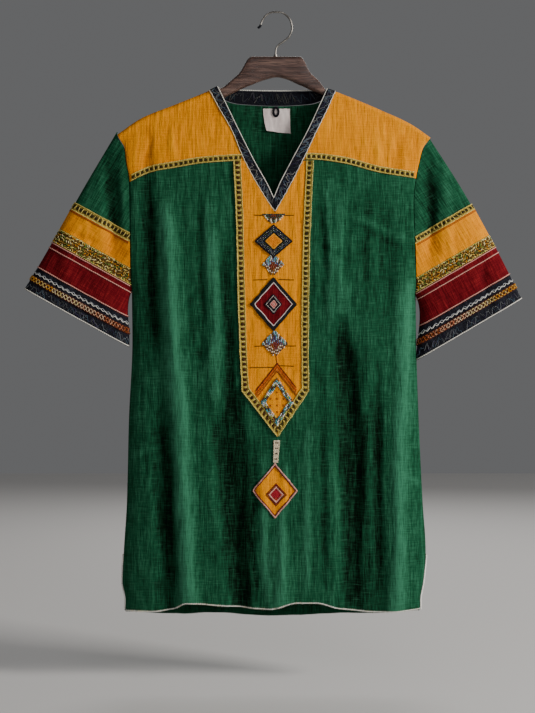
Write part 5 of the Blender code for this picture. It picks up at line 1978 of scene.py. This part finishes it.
    def build_stitches(self, room: Wardrobe) -> list[Piece]:
        """Builds the placket's stitches, and the pendant's rope edge and inner diamond."""
        random = np.random.default_rng(71)
        marks, edging = Marks(), Marks()
        self.chevron(room, marks, random)
        self.dots(room, marks, random)
        self.crosses(room, marks)
        made = [room.sewn("placket_stitches", marks, "woven_braid")]
        rope = self.pendant.lift + TRIM * 0.7
        for size, tint, length, width in ((0.985, PINK, 0.0040, 0.0026), (0.925, MAROON, 0.0034, 0.0018)):
            line = self.pendant.outline(size)
            points, normals, headings = room.trace(Face.FRONT, line, 0.0021, rope + 0.0006)
            shade = varied(random, tint, 0.75, 1.2, len(points))
            edging.add(points, leaning(headings, normals, 0.55), normals, (length, width, 0.0022), shade)
        for size, tint, width in (
            (0.96, MAROON, 0.0016),
            (0.80, MAROON, 0.0016),
            (0.66, PINK, 0.0026),
            (0.44, (0.34, 0.012, 0.03), 0.0030),
            (0.26, (0.40, 0.016, 0.03), 0.0030),
            (0.10, (0.40, 0.016, 0.03), 0.0030),
        ):
            line = self.inner.outline(size)
            points, normals, headings = room.trace(Face.FRONT, line, 0.0020, rope + 0.0004)
            shade = varied(random, tint, 0.75, 1.2, len(points))
            edging.add(points, leaning(headings, normals, 0.45), normals, (0.0032, width, 0.0013), shade)
        made.append(room.sewn("pendant_edging", edging, "woven_braid"))
        return made

    def build_tab(self, room: Wardrobe) -> list[Piece]:
        """Builds the crocheted tab that the pendant hangs by."""
        share = np.linspace(0.0, 1.0, 24)[:, None]
        across = np.linspace(-1.0, 1.0, 7)[None]
        z = mix(self.tab_top, self.tab_bottom, share) * np.ones_like(across)
        x = self.tab_x - self.tab_lean * share + mix(0.0046, 0.0034, share) * across
        grid = room.form.grid(Face.FRONT, x, z)
        tab = room.wall("tab_cloth", [grid], (LAYER, LAYER + TRIM * 0.8), "cream", "cream_cord", "tab")
        marks = Marks()
        random = np.random.default_rng(91)
        for n, z_row in enumerate(np.arange(self.tab_bottom + 0.0012, self.tab_top, 0.0021)):
            part = (self.tab_top - z_row) / (self.tab_top - self.tab_bottom)
            middle, reach = self.tab_x - self.tab_lean * part, mix(0.0040, 0.0029, part)
            x_row = middle + np.array([-1.0, -0.35, 0.35, 1.0]) * reach
            points, normals = room.level(x_row, z_row, LAYER + TRIM * 0.9)
            heading = unit(np.array([[1.0, 0.0, 0.8 if n % 2 else -0.8]])) * np.ones((4, 1))
            tint = varied(random, CREAM, 0.8, 1.15, 4)
            if n % 4 == 2:
                tint[1:3] = BROWN
            marks.add(points, heading, normals, (0.0029, 0.0017, 0.0016), tint)
        return [tab, room.sewn("tab_crochet", marks, "cream_cord")]


@dataclass(frozen=True)
class NeckLabel:
    """The bare label inside the back neck, with one corner lifted, and its loop."""

    left: float = -0.0218
    right: float = 0.0204
    top: float = -0.1475
    bottom: float = -0.1859
    curl: float = 0.0040
    behind: float = CLOTH + LAYER
    loop: tuple[float, float, float, float] = (-0.0062, 0.0032, -0.1450, -0.1600)

    def build(self, room: Wardrobe) -> list[Piece]:
        """Builds the label, its edge stitches and the loop."""
        over, down = np.meshgrid(np.linspace(0.0, 1.0, 30), np.linspace(0.0, 1.0, 28))
        x = mix(self.left + 0.0058 * down**1.7, self.right + 0.0010 * down, over)
        z = mix(self.top, self.bottom + 0.0042 * (1 - over) ** 1.6, down)
        grid = room.form.grid(Face.BACK, x, z)
        lifted = self.curl * down**3 * (1 - over) ** 2 + 0.0004 * np.sin(over * 9 + down * 3) ** 2 * down
        points = grid.points - grid.normals * lifted[..., None]
        sheet = Grid(points, grid.normals, np.stack([x, z], axis=-1), grid.wear)
        far = self.behind + TRIM * 0.7
        label = room.wall("label_cloth", [sheet], (-far, -self.behind), "label", "white_label", "label")
        marks = Marks()
        strip = Ribbon(Grid(points - grid.normals * far, -grid.normals, sheet.cut, sheet.wear))
        for share in (0.06, 0.94):
            run = np.arange(0.002, strip.length - 0.001, 0.0026)
            spots, normals, headings = strip.at(run, share, 0.0001)
            marks.add(spots, headings, normals, (0.0020, 0.0005, 0.0004), WHITE)
        return [label, room.sewn("label_stitches", marks, "white_label"), self.build_loop(room)]

    def build_loop(self, room: Wardrobe) -> Piece:
        """Builds the small hanging loop as a flat cord bent into a ring."""
        left, right, top, bottom = self.loop
        turn = np.linspace(0.0, 2 * math.pi, 40, endpoint=False)
        x = (left + right) / 2 + (right - left - 0.0016) / 2 * np.sin(turn)
        z = (top + bottom) / 2 + (top - bottom - 0.0016) / 2 * np.cos(turn)
        grid = room.form.grid(Face.BACK, x[None], z[None])
        points = grid.points[0] - grid.normals[0] * (self.behind + TRIM + 0.0009)
        ring, name = Path(points, -grid.normals[0], INK, True), "label_loop_cord"
        return room.threads(name, [ring], 0.0018, "cord", "charcoal_cotton", "label_loop", sides=8, flat=0.6)


@dataclass(frozen=True)
class BoardHanger:
    """The wooden hanger: a board with rounded edges, shaped in the neck, with arms in the shoulders."""

    board: Curve
    hook: Curve
    ends: tuple[float, float] = (-0.2070, 0.1970)
    drop: float = 0.0019
    height: float = 0.0185
    half: float = 0.0062
    taper: float = 0.0010
    wire: float = 0.0015

    def section(self, shoulder: Curve, x: Array) -> tuple[Array, Array]:
        """Top and bottom of the board at x."""
        shown = (x >= self.board.rows[0][0]) & (x <= self.board.rows[-1][0])
        arm = shoulder.read(x) - self.drop
        top = np.where(shown, self.board.read(x), arm)
        return top, np.where(shown, self.board.read(x, 2), arm - self.height)

    def build(self, room: Wardrobe) -> Piece:
        """Builds the board as upright sections lofted from end to end."""
        left, right = self.ends
        lead = np.array([0.0, 0.0008, 0.0020, 0.0040, 0.0075, 0.0120])
        sizes = np.array([0.45, 0.66, 0.80, 0.90, 0.975, 1.0])
        inner = np.linspace(left + 0.015, right - 0.015, 240)
        x = np.concatenate([left + lead, inner, (right - lead)[::-1]])
        size = np.concatenate([sizes, np.ones(len(inner)), sizes[::-1]])
        top, bottom = self.section(room.form.shoulder, x)
        half = (self.half - self.taper * smooth((np.abs(x) - 0.10) / 0.10)) * size
        rounding = np.minimum(half, (top - bottom) / 2 * size - 0.0001)
        reach = (top - bottom) / 2 * size - rounding
        turn = np.linspace(0.0, math.pi, 13)
        turn = np.concatenate([turn, turn + math.pi])
        shift = np.where(np.arange(26) < 13, 1.0, -1.0)
        y = half[:, None] * np.cos(turn)[None]
        z = (top + bottom)[:, None] / 2 + shift[None] * reach[:, None]
        z = z + rounding[:, None] * np.sin(turn)[None]
        points = np.stack([x[:, None] * np.ones_like(y), y, z], axis=-1)
        rings, count = points.shape[:2]
        index = np.arange(rings * count).reshape(rings, count)
        turned = np.roll(index, -1, axis=1)
        quads = np.stack([index[:-1], turned[:-1], turned[1:], index[1:]], axis=-1)
        faces = [*quads.reshape(-1, 4).tolist(), index[0].tolist(), index[-1].tolist()]
        mesh = bpy.data.meshes.new("hanger_board")
        mesh.from_pydata(points.reshape(-1, 3).tolist(), [], faces)
        turn_outward(mesh)
        board = finished_object("hanger_board", mesh, room.cloths["walnut"], math.radians(40))
        return room.dress(board, "walnut", "hanger")

    def build_hook(self, room: Wardrobe) -> list[Piece]:
        """Builds the wire hook, its dark end cap and the small ferrule where it enters the board."""
        knots = np.array([row[:2] for row in self.hook.rows])
        reach = arc_lengths(knots)
        run = np.linspace(0.0, reach[-1], 150)
        along = Curve(tuple((length, *knot) for length, knot in zip(reach.tolist(), knots.tolist())))
        points = np.stack([along.read(run), np.zeros_like(run), along.read(run, 2)], axis=-1)
        normals = np.broadcast_to([0.0, -1.0, 0.0], points.shape)
        line = Path(points, normals)
        wire = room.threads("hook_wire", [line], self.wire, "wire", "steel_wire", "hook", sides=16)
        cap = Path(points[:9] + [[0, 0, 0]], normals[:9], INK)
        cover = room.threads("hook_cap", [cap], self.wire + 0.00035, "cord", "steel_wire", sides=16)
        base = points[-1]
        ferrule = Path(np.array([base + [0, 0, 0.0022], base + [0, 0, -0.0008]]), normals[:2], INK)
        collar = room.threads("hook_ferrule", [ferrule], 0.0030, "wire", "steel_wire", sides=20)
        return [wire, cover, collar]


@dataclass(frozen=True)
class Overlock:
    """The overlocked edges of the hems and side slits: a turned edge thread and its wrap stitches."""

    pitch: float = 0.0034
    slit_top: float = -0.845
    slit_bottom: float = -0.929
    outset: float = 0.0004

    def edge(
        self, room: Wardrobe, marks: Marks, face: Face, line: Array, lift: float, tints: Sequence[Color],
        seed: int,
    ) -> Path:
        """Wrap stitches along an edge, and the thread that they hold."""
        random = np.random.default_rng(seed)
        points, normals, headings = room.trace(face, line, self.pitch, lift)
        count = len(points)
        lean = unit(np.cross(normals, headings) + 0.35 * headings)
        tint = varied(random, np.array(tints)[random.integers(0, len(tints), count)], 0.7, 1.2, count)
        marks.add(points, lean, normals, (0.0042, 0.0011, 0.0016), tint)
        fine, facing, _ = room.trace(face, line, 0.0020, lift)
        return Path(fine, facing, tints[0])

    def build(self, room: Wardrobe, body: BodyCloth) -> list[Piece]:
        """Builds the hem and slit edging on both faces."""
        marks, form = Marks(), room.form
        green = ((0.020, 0.120, 0.060), (0.040, 0.170, 0.090), (0.012, 0.080, 0.040))
        white = (WHITE, CREAM, (0.40, 0.42, 0.36))
        x = np.linspace(form.side_x(Side.LEFT, -0.93) + 0.002, form.side_x(Side.RIGHT, -0.93) - 0.002, 260)
        front = np.stack([x, body.front_hem.read(x) + 0.0006], axis=1)
        back = np.stack([x, body.back_hem.read(x) + 0.0006], axis=1)
        hems = [
            self.edge(room, marks, Face.FRONT, front, 0.0001, white, 101),
            self.edge(room, marks, Face.BACK, back, -0.0004, green, 102),
        ]
        slits = []
        for side in Side:
            z = np.linspace(self.slit_top, self.slit_bottom, 40)
            line = np.stack([form.side_x(side, z) - side.value * self.outset, z], axis=1)
            for face, seed in ((Face.FRONT, 103), (Face.BACK, 105)):
                # The slit threads start from the brighter white: painted light on the slit edges.
                tints = (PAINTED_LIGHT_WHITE, *white)
                slits.append(self.edge(room, marks, face, line, 0.0012, tints, seed + side.value))
        return [
            room.threads("hem_thread", hems, 0.00070, "yarn", "green_linen"),
            room.threads("slit_thread", slits, 0.00125, "yarn", "green_linen"),
            room.sewn("hem_stitches", marks, "green_linen"),
        ]


SIDES = Curve((
    (-0.936, -0.237, 0.223),
    (-0.915, -0.236, 0.223),
    (-0.885, -0.241, 0.228),
    (-0.840, -0.239, 0.232),
    (-0.760, -0.234, 0.227),
    (-0.635, -0.231, 0.221),
    (-0.510, -0.2255, 0.217),
    (-0.448, -0.2262, 0.2163),
    (-0.370, -0.227, 0.214),
    (-0.292, -0.228, 0.212),
    (-0.260, -0.2292, 0.2155),
    (-0.234, -0.234, 0.221),
    (-0.212, -0.237, 0.227),
    (-0.194, -0.247, 0.2393),
    (-0.186, -0.2500, 0.2420),
))

SHOULDER = Curve((
    (-0.2500, -0.1904),
    (-0.2106, -0.1640),
    (-0.1560, -0.1420),
    (-0.1065, -0.1216),
    (-0.0939, -0.1152),
    (-0.0750, -0.1080),
    (-0.0400, -0.1010),
    (0.0000, -0.1000),
    (0.0400, -0.1020),
    (0.0620, -0.1090),
    (0.0796, -0.1185),
    (0.0924, -0.1231),
    (0.1680, -0.1545),
    (0.2075, -0.1730),
    (0.2420, -0.1965),
))

DEPTHS = Curve((
    (0.000, 0.0080, 0.0080),
    (0.008, 0.0080, 0.0080),
    (0.040, 0.0125, 0.0115),
    (0.120, 0.0190, 0.0150),
    (0.250, 0.0240, 0.0180),
    (0.450, 0.0260, 0.0190),
    (0.800, 0.0240, 0.0170),
))

FOLDS = {
    Face.FRONT: (
        Fold(-0.176, -0.134, -0.265, -0.990, 0.030, 0.0070),
        Fold(-0.204, -0.196, -0.235, -0.560, 0.024, -0.0055),
        Fold(-0.182, -0.168, -0.580, -0.990, 0.024, -0.0060),
        Fold(-0.104, -0.100, -0.260, -0.640, 0.020, 0.0030),
        Fold(-0.092, -0.052, -0.590, -0.990, 0.026, -0.0085),
        Fold(0.003, 0.002, -0.785, -0.990, 0.032, 0.0055),
        Fold(0.104, 0.122, -0.480, -0.990, 0.036, -0.0080),
        Fold(0.151, 0.153, -0.560, -0.990, 0.022, -0.0045),
        Fold(0.200, 0.184, -0.380, -0.990, 0.026, 0.0070),
        Fold(0.086, 0.088, -0.250, -0.520, 0.024, 0.0030),
        Fold(0.166, 0.172, -0.270, -0.500, 0.026, -0.0040),
        Fold(-0.203, -0.200, -0.172, -0.300, 0.020, -0.0050),
    ),
    Face.BACK: (
        Fold(-0.150, -0.162, -0.240, -0.990, 0.030, 0.0060),
        Fold(-0.105, -0.096, -0.330, -0.990, 0.026, -0.0060),
        Fold(-0.045, -0.030, -0.480, -0.990, 0.032, 0.0050),
        Fold(0.030, 0.044, -0.360, -0.990, 0.028, -0.0060),
        Fold(0.095, 0.104, -0.240, -0.990, 0.030, 0.0060),
        Fold(0.155, 0.160, -0.420, -0.990, 0.026, -0.0050),
    ),
}

CREASES = {
    Face.FRONT: (
        Crease(-0.172, -0.292, -0.158, -0.600, 0.012, 0.0026),
        Crease(-0.150, -0.560, -0.138, -0.905, 0.014, 0.0028),
        Crease(-0.199, -0.262, -0.186, -0.520, 0.010, -0.0026),
        Crease(-0.172, -0.640, -0.160, -0.900, 0.011, -0.0028),
        Crease(-0.110, -0.280, -0.106, -0.430, 0.007, 0.0016),
        Crease(-0.095, -0.330, -0.092, -0.640, 0.009, 0.0014),
        Crease(-0.064, -0.580, -0.051, -0.930, 0.019, -0.0048),
        Crease(-0.080, -0.360, -0.070, -0.640, 0.012, -0.0026),
        Crease(-0.038, -0.660, -0.034, -0.920, 0.010, -0.0020),
        Crease(-0.122, -0.300, -0.112, -0.560, 0.009, -0.0014),
        Crease(-0.020, -0.690, -0.018, -0.925, 0.010, 0.0018),
        Crease(0.012, -0.700, 0.006, -0.925, 0.009, 0.0022),
        Crease(0.046, -0.640, 0.044, -0.930, 0.010, 0.0018),
        Crease(0.070, -0.560, 0.074, -0.900, 0.009, -0.0016),
        Crease(0.100, -0.470, 0.128, -0.800, 0.017, -0.0040),
        Crease(0.132, -0.620, 0.116, -0.915, 0.013, -0.0028),
        Crease(0.088, -0.640, 0.096, -0.900, 0.009, 0.0014),
        Crease(0.070, -0.290, 0.076, -0.460, 0.010, -0.0014),
        Crease(0.140, -0.270, 0.134, -0.470, 0.009, -0.0013),
        Crease(0.155, -0.540, 0.158, -0.900, 0.008, -0.0022),
        Crease(0.204, -0.420, 0.190, -0.660, 0.010, 0.0024),
        Crease(0.184, -0.640, 0.190, -0.905, 0.010, 0.0022),
        Crease(0.078, -0.262, 0.080, -0.500, 0.006, 0.0012),
        Crease(0.100, -0.270, 0.098, -0.480, 0.006, 0.0012),
        Crease(0.098, -0.312, 0.208, -0.356, 0.008, 0.0013),
        Crease(0.118, -0.330, 0.200, -0.372, 0.007, -0.0010),
        Crease(-0.219, -0.268, -0.217, -0.330, 0.006, 0.0014),
        Crease(-0.196, -0.180, -0.204, -0.250, 0.008, -0.0018),
        Crease(-0.165, -0.168, -0.160, -0.236, 0.007, 0.0012),
        Crease(0.150, -0.176, 0.160, -0.246, 0.008, 0.0012),
        Crease(0.192, -0.190, 0.186, -0.255, 0.008, -0.0014),
        Crease(-0.140, -0.420, -0.120, -0.560, 0.007, -0.0010),
        Crease(0.060, -0.360, 0.120, -0.392, 0.006, -0.0008),
        Crease(0.170, -0.700, 0.222, -0.735, 0.007, 0.0010),
        Crease(-0.230, -0.690, -0.176, -0.672, 0.008, 0.0011),
    ),
    Face.BACK: (
        Crease(-0.150, -0.270, -0.156, -0.620, 0.012, 0.0024),
        Crease(-0.190, -0.320, -0.186, -0.760, 0.011, -0.0020),
        Crease(-0.105, -0.380, -0.098, -0.880, 0.012, -0.0026),
        Crease(-0.060, -0.250, -0.044, -0.540, 0.009, 0.0014),
        Crease(-0.038, -0.560, -0.030, -0.930, 0.012, 0.0024),
        Crease(0.010, -0.240, 0.016, -0.470, 0.008, -0.0012),
        Crease(0.034, -0.440, 0.044, -0.910, 0.011, -0.0026),
        Crease(0.096, -0.280, 0.102, -0.700, 0.012, 0.0024),
        Crease(0.128, -0.600, 0.140, -0.920, 0.010, 0.0018),
        Crease(0.160, -0.460, 0.160, -0.860, 0.010, -0.0022),
        Crease(0.196, -0.340, 0.188, -0.560, 0.009, 0.0014),
        Crease(-0.200, -0.300, -0.080, -0.342, 0.009, 0.0012),
        Crease(0.090, -0.330, 0.190, -0.300, 0.008, 0.0011),
        Crease(-0.120, -0.190, -0.070, -0.176, 0.007, 0.0008),
    ),
}

CRINKLES = {
    Face.FRONT: (Crinkle(3, 0.021, 0.170, 0.00085), Crinkle(7, 0.0100, 0.055, 0.00034)),
    Face.BACK: (Crinkle(4, 0.022, 0.170, 0.00085), Crinkle(8, 0.0105, 0.055, 0.00034)),
}

YOKE_SEAM = Curve((
    (-0.229, -0.2650),
    (-0.195, -0.2500),
    (-0.155, -0.2432),
    (-0.115, -0.2367),
    (-0.067, -0.2335),
    (0.000, -0.2310),
    (0.056, -0.2313),
    (0.102, -0.2367),
    (0.160, -0.2513),
    (0.216, -0.2595),
))

FRONT_HEM = Curve((
    (-0.237, -0.9310),
    (-0.189, -0.9305),
    (-0.160, -0.9260),
    (-0.140, -0.9170),
    (-0.088, -0.9210),
    (-0.012, -0.9260),
    (0.031, -0.9170),
    (0.060, -0.9170),
    (0.097, -0.9260),
    (0.159, -0.9314),
    (0.223, -0.9283),
))

BACK_HEM = Curve((
    (-0.237, -0.9340),
    (-0.150, -0.9400),
    (-0.100, -0.9370),
    (-0.020, -0.9430),
    (0.060, -0.9400),
    (0.150, -0.9380),
    (0.223, -0.9320),
))

NECK_EDGE = Curve((
    (-0.3139, -0.0032, -0.0032),
    (-0.2810, -0.0250, 0.0159),
    (-0.2285, -0.0533, 0.0425),
    (-0.1865, -0.0705, 0.0624),
    (-0.1520, -0.0900, 0.0790),
    (-0.1223, -0.1062, 0.0924),
    (-0.1200, -0.1080, 0.0940),
))

NECK_BAND = {
    Side.LEFT: Curve((
        (0.00, -0.1214, -0.0939, -0.1152),
        (0.35, -0.1865, -0.0585, -0.1897),
        (0.56, -0.2298, -0.0379, -0.2309),
        (0.82, -0.2822, -0.0171, -0.2692),
        (1.00, -0.3124, -0.0052, -0.2933),
    )),
    Side.RIGHT: Curve((
        (0.00, -0.1229, 0.0796, -0.1185),
        (0.35, -0.1865, 0.0474, -0.1885),
        (0.56, -0.2266, 0.0259, -0.2286),
        (0.82, -0.2800, 0.0061, -0.2677),
        (1.00, -0.3124, -0.0052, -0.2933),
    )),
}

BACK_NECK = Curve((
    (-0.1062, -0.1214, -0.1152),
    (-0.0850, -0.1330, -0.1180),
    (-0.0600, -0.1400, -0.1200),
    (0.0000, -0.1430, -0.1210),
    (0.0500, -0.1405, -0.1205),
    (0.0750, -0.1330, -0.1200),
    (0.0924, -0.1231, -0.1185),
))

PLACKET = Curve((
    (-0.5890, -0.0542, 0.0490),
    (-0.5100, -0.0581, 0.0482),
    (-0.3900, -0.0615, 0.0498),
    (-0.3100, -0.0635, 0.0524),
    (-0.2300, -0.0674, 0.0563),
))

SLEEVE_DEPTHS = Curve((
    (0.000, 0.0145),
    (0.080, 0.0150),
    (0.150, 0.0140),
    (0.230, 0.0110),
    (0.295, 0.0090),
))

SLEEVES = {
    Side.LEFT: SleeveSizes(
        side=Side.LEFT,
        corner=(-0.3920, -0.4321),
        slope=math.radians(29.0),
        cap=0.285,
        levels=(0.016, 0.026, 0.039, 0.086, 0.109, 0.144, 0.157),
        edges=Curve((
            (0.000, 0.0000, 0.1827),
            (0.080, 0.0020, 0.1440),
            (0.160, 0.0020, 0.2000),
            (0.285, 0.0050, 0.2650),
        )),
        folds=(
            Fold(-0.262, -0.246, -0.190, -0.430, 0.022, -0.0055),
            Fold(-0.318, -0.330, -0.300, -0.480, 0.020, 0.0030),
        ),
        creases=(
            Crease(-0.264, -0.215, -0.254, -0.400, 0.010, -0.0022),
            Crease(-0.243, -0.230, -0.238, -0.350, 0.009, 0.0016),
            Crease(-0.292, -0.250, -0.300, -0.390, 0.008, 0.0012),
            Crease(-0.345, -0.330, -0.275, -0.362, 0.008, -0.0016),
            Crease(-0.350, -0.390, -0.290, -0.440, 0.007, 0.0009),
            Crease(-0.285, -0.440, -0.245, -0.500, 0.008, -0.0010),
        ),
        depths=SLEEVE_DEPTHS,
    ),
    Side.RIGHT: SleeveSizes(
        side=Side.RIGHT,
        corner=(0.3799, -0.4473),
        slope=math.radians(30.3),
        cap=0.295,
        levels=(0.018, 0.028, 0.042, 0.092, 0.112, 0.158, 0.168),
        edges=Curve((
            (0.000, 0.0000, 0.1862),
            (0.088, -0.0055, 0.1368),
            (0.186, -0.0080, 0.2080),
            (0.295, -0.0040, 0.2640),
        )),
        folds=(
            Fold(0.240, 0.236, -0.200, -0.420, 0.022, -0.0055),
            Fold(0.318, 0.330, -0.360, -0.490, 0.020, -0.0035),
        ),
        creases=(
            Crease(0.242, -0.220, 0.238, -0.400, 0.010, -0.0022),
            Crease(0.262, -0.230, 0.270, -0.380, 0.009, 0.0014),
            Crease(0.318, -0.385, 0.330, -0.470, 0.008, -0.0018),
            Crease(0.290, -0.330, 0.340, -0.368, 0.008, 0.0012),
            Crease(0.255, -0.430, 0.300, -0.480, 0.007, -0.0009),
        ),
        depths=SLEEVE_DEPTHS,
    ),
}

HANGER = Curve((
    (-0.0939, -0.1192, -0.1390),
    (-0.0850, -0.1162, -0.1340),
    (-0.0733, -0.1070, -0.1279),
    (-0.0577, -0.0925, -0.1200),
    (-0.0440, -0.0705, -0.1140),
    (-0.0400, -0.0682, -0.1125),
    (-0.0187, -0.0679, -0.1045),
    (0.0000, -0.0679, -0.1006),
    (0.0125, -0.0679, -0.1030),
    (0.0360, -0.0682, -0.1130),
    (0.0400, -0.0710, -0.1145),
    (0.0515, -0.0925, -0.1200),
    (0.0660, -0.1065, -0.1260),
    (0.0749, -0.1185, -0.1300),
    (0.0796, -0.1225, -0.1380),
))

HOOK = Curve((
    (-0.0300, -0.0235),
    (-0.0268, -0.0215),
    (-0.0235, -0.0130),
    (-0.0160, -0.0028),
    (-0.0050, 0.0014),
    (0.0050, 0.0012),
    (0.0150, -0.0040),
    (0.0215, -0.0130),
    (0.0235, -0.0240),
    (0.0200, -0.0350),
    (0.0110, -0.0440),
    (0.0025, -0.0500),
    (-0.0015, -0.0560),
    (-0.0022, -0.0640),
    (-0.0022, -0.0676),
))


@dataclass(frozen=True)
class SoftLight:
    """A square soft light that faces a height on the garment's axis."""

    name: str
    place: tuple[float, float, float]
    target: float
    size: float
    power: float
    color: Color

    def build(self) -> None:
        """Sets up the light."""
        data = bpy.data.lights.new(self.name, "AREA")
        data.shape = "SQUARE"
        data.size = self.size
        data.energy = self.power
        data.color = self.color
        lamp = bpy.data.objects.new(self.name, data)
        lamp.location = self.place
        aim = Vector((0.0, 0.0, self.target)) - Vector(self.place)
        lamp.rotation_euler = aim.to_track_quat("-Z", "Y").to_euler()
        bpy.context.scene.collection.objects.link(lamp)


@dataclass(frozen=True)
class Studio:
    """The plain studio: a pale floor, a large soft light from the upper right, and a weak fill."""

    floor_level: float = -1.05
    floor_reach: float = 4.0
    distance: float = 2.2
    eye: tuple[float, float] = (-0.0148, -0.5359)
    lens: float = 94.9
    air: float = 0.14
    lights: tuple[SoftLight, ...] = (
        SoftLight("key", (3.20, -1.75, 0.75), -0.50, 0.9, 172.0, (1.0, 0.965, 0.92)),
        SoftLight("fill", (0.7, -2.8, 0.6), -0.55, 1.4, 13.0, (0.96, 0.97, 1.0)),
        SoftLight("behind", (0.3, 2.2, 0.9), -0.45, 1.8, 26.0, (1.0, 0.98, 0.96)),
    )

    def build(self) -> None:
        """Sets the floor, the lights and the camera."""
        self.build_floor()
        for light in self.lights:
            light.build()
        world = bpy.data.worlds.new("studio_air")
        world.use_nodes = True
        air = next(node for node in world.node_tree.nodes if node.type == "BACKGROUND")
        air.inputs[0].default_value = (0.93, 0.94, 0.96, 1.0)
        air.inputs[1].default_value = self.air
        bpy.context.scene.world = world
        data = bpy.data.cameras.new("camera")
        data.sensor_fit = "HORIZONTAL"
        data.sensor_width = 36.0
        data.lens = self.lens
        camera = bpy.data.objects.new("camera", data)
        camera.location = (self.eye[0], -self.distance, self.eye[1])
        camera.rotation_euler = (math.pi / 2, 0.0, 0.0)
        bpy.context.scene.collection.objects.link(camera)
        bpy.context.scene.camera = camera

    def build_floor(self) -> None:
        """A plain pale floor below the hem."""
        graph = Graph("pale_floor")
        graph.finish((0.62, 0.61, 0.60), 0.9)
        mesh = bpy.data.meshes.new("studio_floor")
        reach, level = self.floor_reach, self.floor_level
        corners = [(-reach, -reach), (reach, -reach), (reach, reach), (-reach, reach)]
        mesh.from_pydata([(x, y, level) for x, y in corners], [], [[0, 1, 2, 3]])
        finished_object("studio_floor", mesh, graph.material, math.radians(30))


# Each cloth's fold weight sets how much painted shade its troughs get, and how much abrasion and painted
# highlight its ridges get.
WEAVES = {
    "green": WovenCloth(
        "green_linen_weave", (0.0004, 0.006, 0.002), (0.007, 0.068, 0.031), (0.034, 0.166, 0.090),
        (0.055, 0.21, 0.12), wear=0.40, crumple=0.19,
    ),
    "yellow": WovenCloth(
        "yellow_cotton_weave", (0.30, 0.075, 0.0), (0.76, 0.262, 0.0), (0.92, 0.375, 0.0),
        (0.52, 0.145, 0.0), thread=0.0013, slub=0.24, mottle=0.16, wear=0.24,
    ),
    "red": WovenCloth(
        "red_cotton_weave", (0.035, 0.001, 0.002), (0.120, 0.003, 0.007), (0.27, 0.017, 0.017),
        (0.08, 0.002, 0.005), thread=0.0013,
    ),
    "charcoal": WovenCloth(
        "charcoal_weave", (0.003, 0.003, 0.005), (0.010, 0.010, 0.015), (0.035, 0.038, 0.052),
        (0.06, 0.065, 0.09), thread=0.0010,
    ),
    "cream": WovenCloth(
        "cream_weave", (0.34, 0.28, 0.18), (0.68, 0.58, 0.42), (0.82, 0.75, 0.62), (0.40, 0.32, 0.22)
    ),
    "label": WovenCloth(
        "label_tape", (0.50, 0.42, 0.40), (0.72, 0.63, 0.60), (0.84, 0.78, 0.75), (0.66, 0.55, 0.52),
        thread=0.0008, slub=0.2, mottle=0.3, relief=0.0002,
    ),
    "multi": WovenCloth(
        "braid_ground", (0.02, 0.005, 0.004), (0.075, 0.018, 0.012), (0.20, 0.07, 0.035),
        (0.05, 0.012, 0.01),
    ),
    "lattice": WovenCloth(
        "gold_braid_ground", (0.030, 0.016, 0.006), (0.090, 0.045, 0.012), (0.34, 0.20, 0.05),
        (0.05, 0.03, 0.01),
    ),
}


def make_cloths() -> dict[str, Material]:
    """Every finish, by the name that the sub-assemblies use."""
    others = {
        "ladder": LadderWeave(),
        "yarn": StrandYarn(),
        "cord": PipingCord(),
        "beads": GlassBead(),
        "walnut": Walnut(),
        "wire": DrawnWire(),
    }
    return {name: finish.build() for name, finish in {**WEAVES, **others}.items()}


def make_tunic(room: Wardrobe) -> None:
    """Builds the whole tunic."""
    body = BodyCloth(YOKE_SEAM, FRONT_HEM, BACK_HEM, NECK_EDGE, BACK_NECK)
    panels = body.build(room)
    edging = Overlock().build(room, body)
    for side in Side:
        name, grid = f"yoke_braid_{side.word}", body.yoke_braid(room.form, side)
        LadderBraid().build(room, name, grid, (LAYER, LAYER + BRAID), body.braid)
    placket, placket_trims = Placket(PLACKET).build(room, body)
    bands, neck_trims = NeckBand(NECK_BAND).build(room, body)
    yellow = ("yellow", "yellow_cotton")
    lozenges = (
        Lozenge(-0.0053, -0.3583, 0.0294, 0.0255, "lozenge_dark", "charcoal", "charcoal_cotton"),
        Lozenge(-0.0056, -0.4555, 0.0355, 0.0410, "lozenge_red", "red", "red_cotton"),
        Lozenge(0.0000, -0.6062, 0.0248, 0.0362, "lozenge_gold", *yellow),
        Lozenge(-0.0033, -0.7429, 0.0345, 0.0420, "pendant", *yellow, lift=0.0004),
    )
    motifs = Motifs(*lozenges)
    patches = [lozenge.build(room) for lozenge in lozenges]
    sewn = [*motifs.build_threads(room), *motifs.build_stitches(room), motifs.build_beads(room)]
    tab = motifs.build_tab(room)
    label = NeckLabel().build(room)
    for side in Side:
        sleeve, trims = BandedSleeve(side).build(room)


def main() -> None:
    """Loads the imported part, dresses it, and finishes the scene."""
    logging.basicConfig(level=logging.INFO, format="%(name)s %(message)s")
    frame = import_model()
    puckers = Puckers(FRONT_HEM, PLACKET, YOKE_SEAM)
    form = TunicForm(SIDES, SHOULDER, DEPTHS, FOLDS, CREASES, CRINKLES, puckers, SLEEVES)
    room = Wardrobe(form, make_cloths(), Sewing(), next(iter(frame["bodies"])))
    make_tunic(room)
    hanger = BoardHanger(HANGER, HOOK)
    hanger.build(room)
    hanger.build_hook(room)
    Studio().build()


if __name__ == "__main__":
    main()
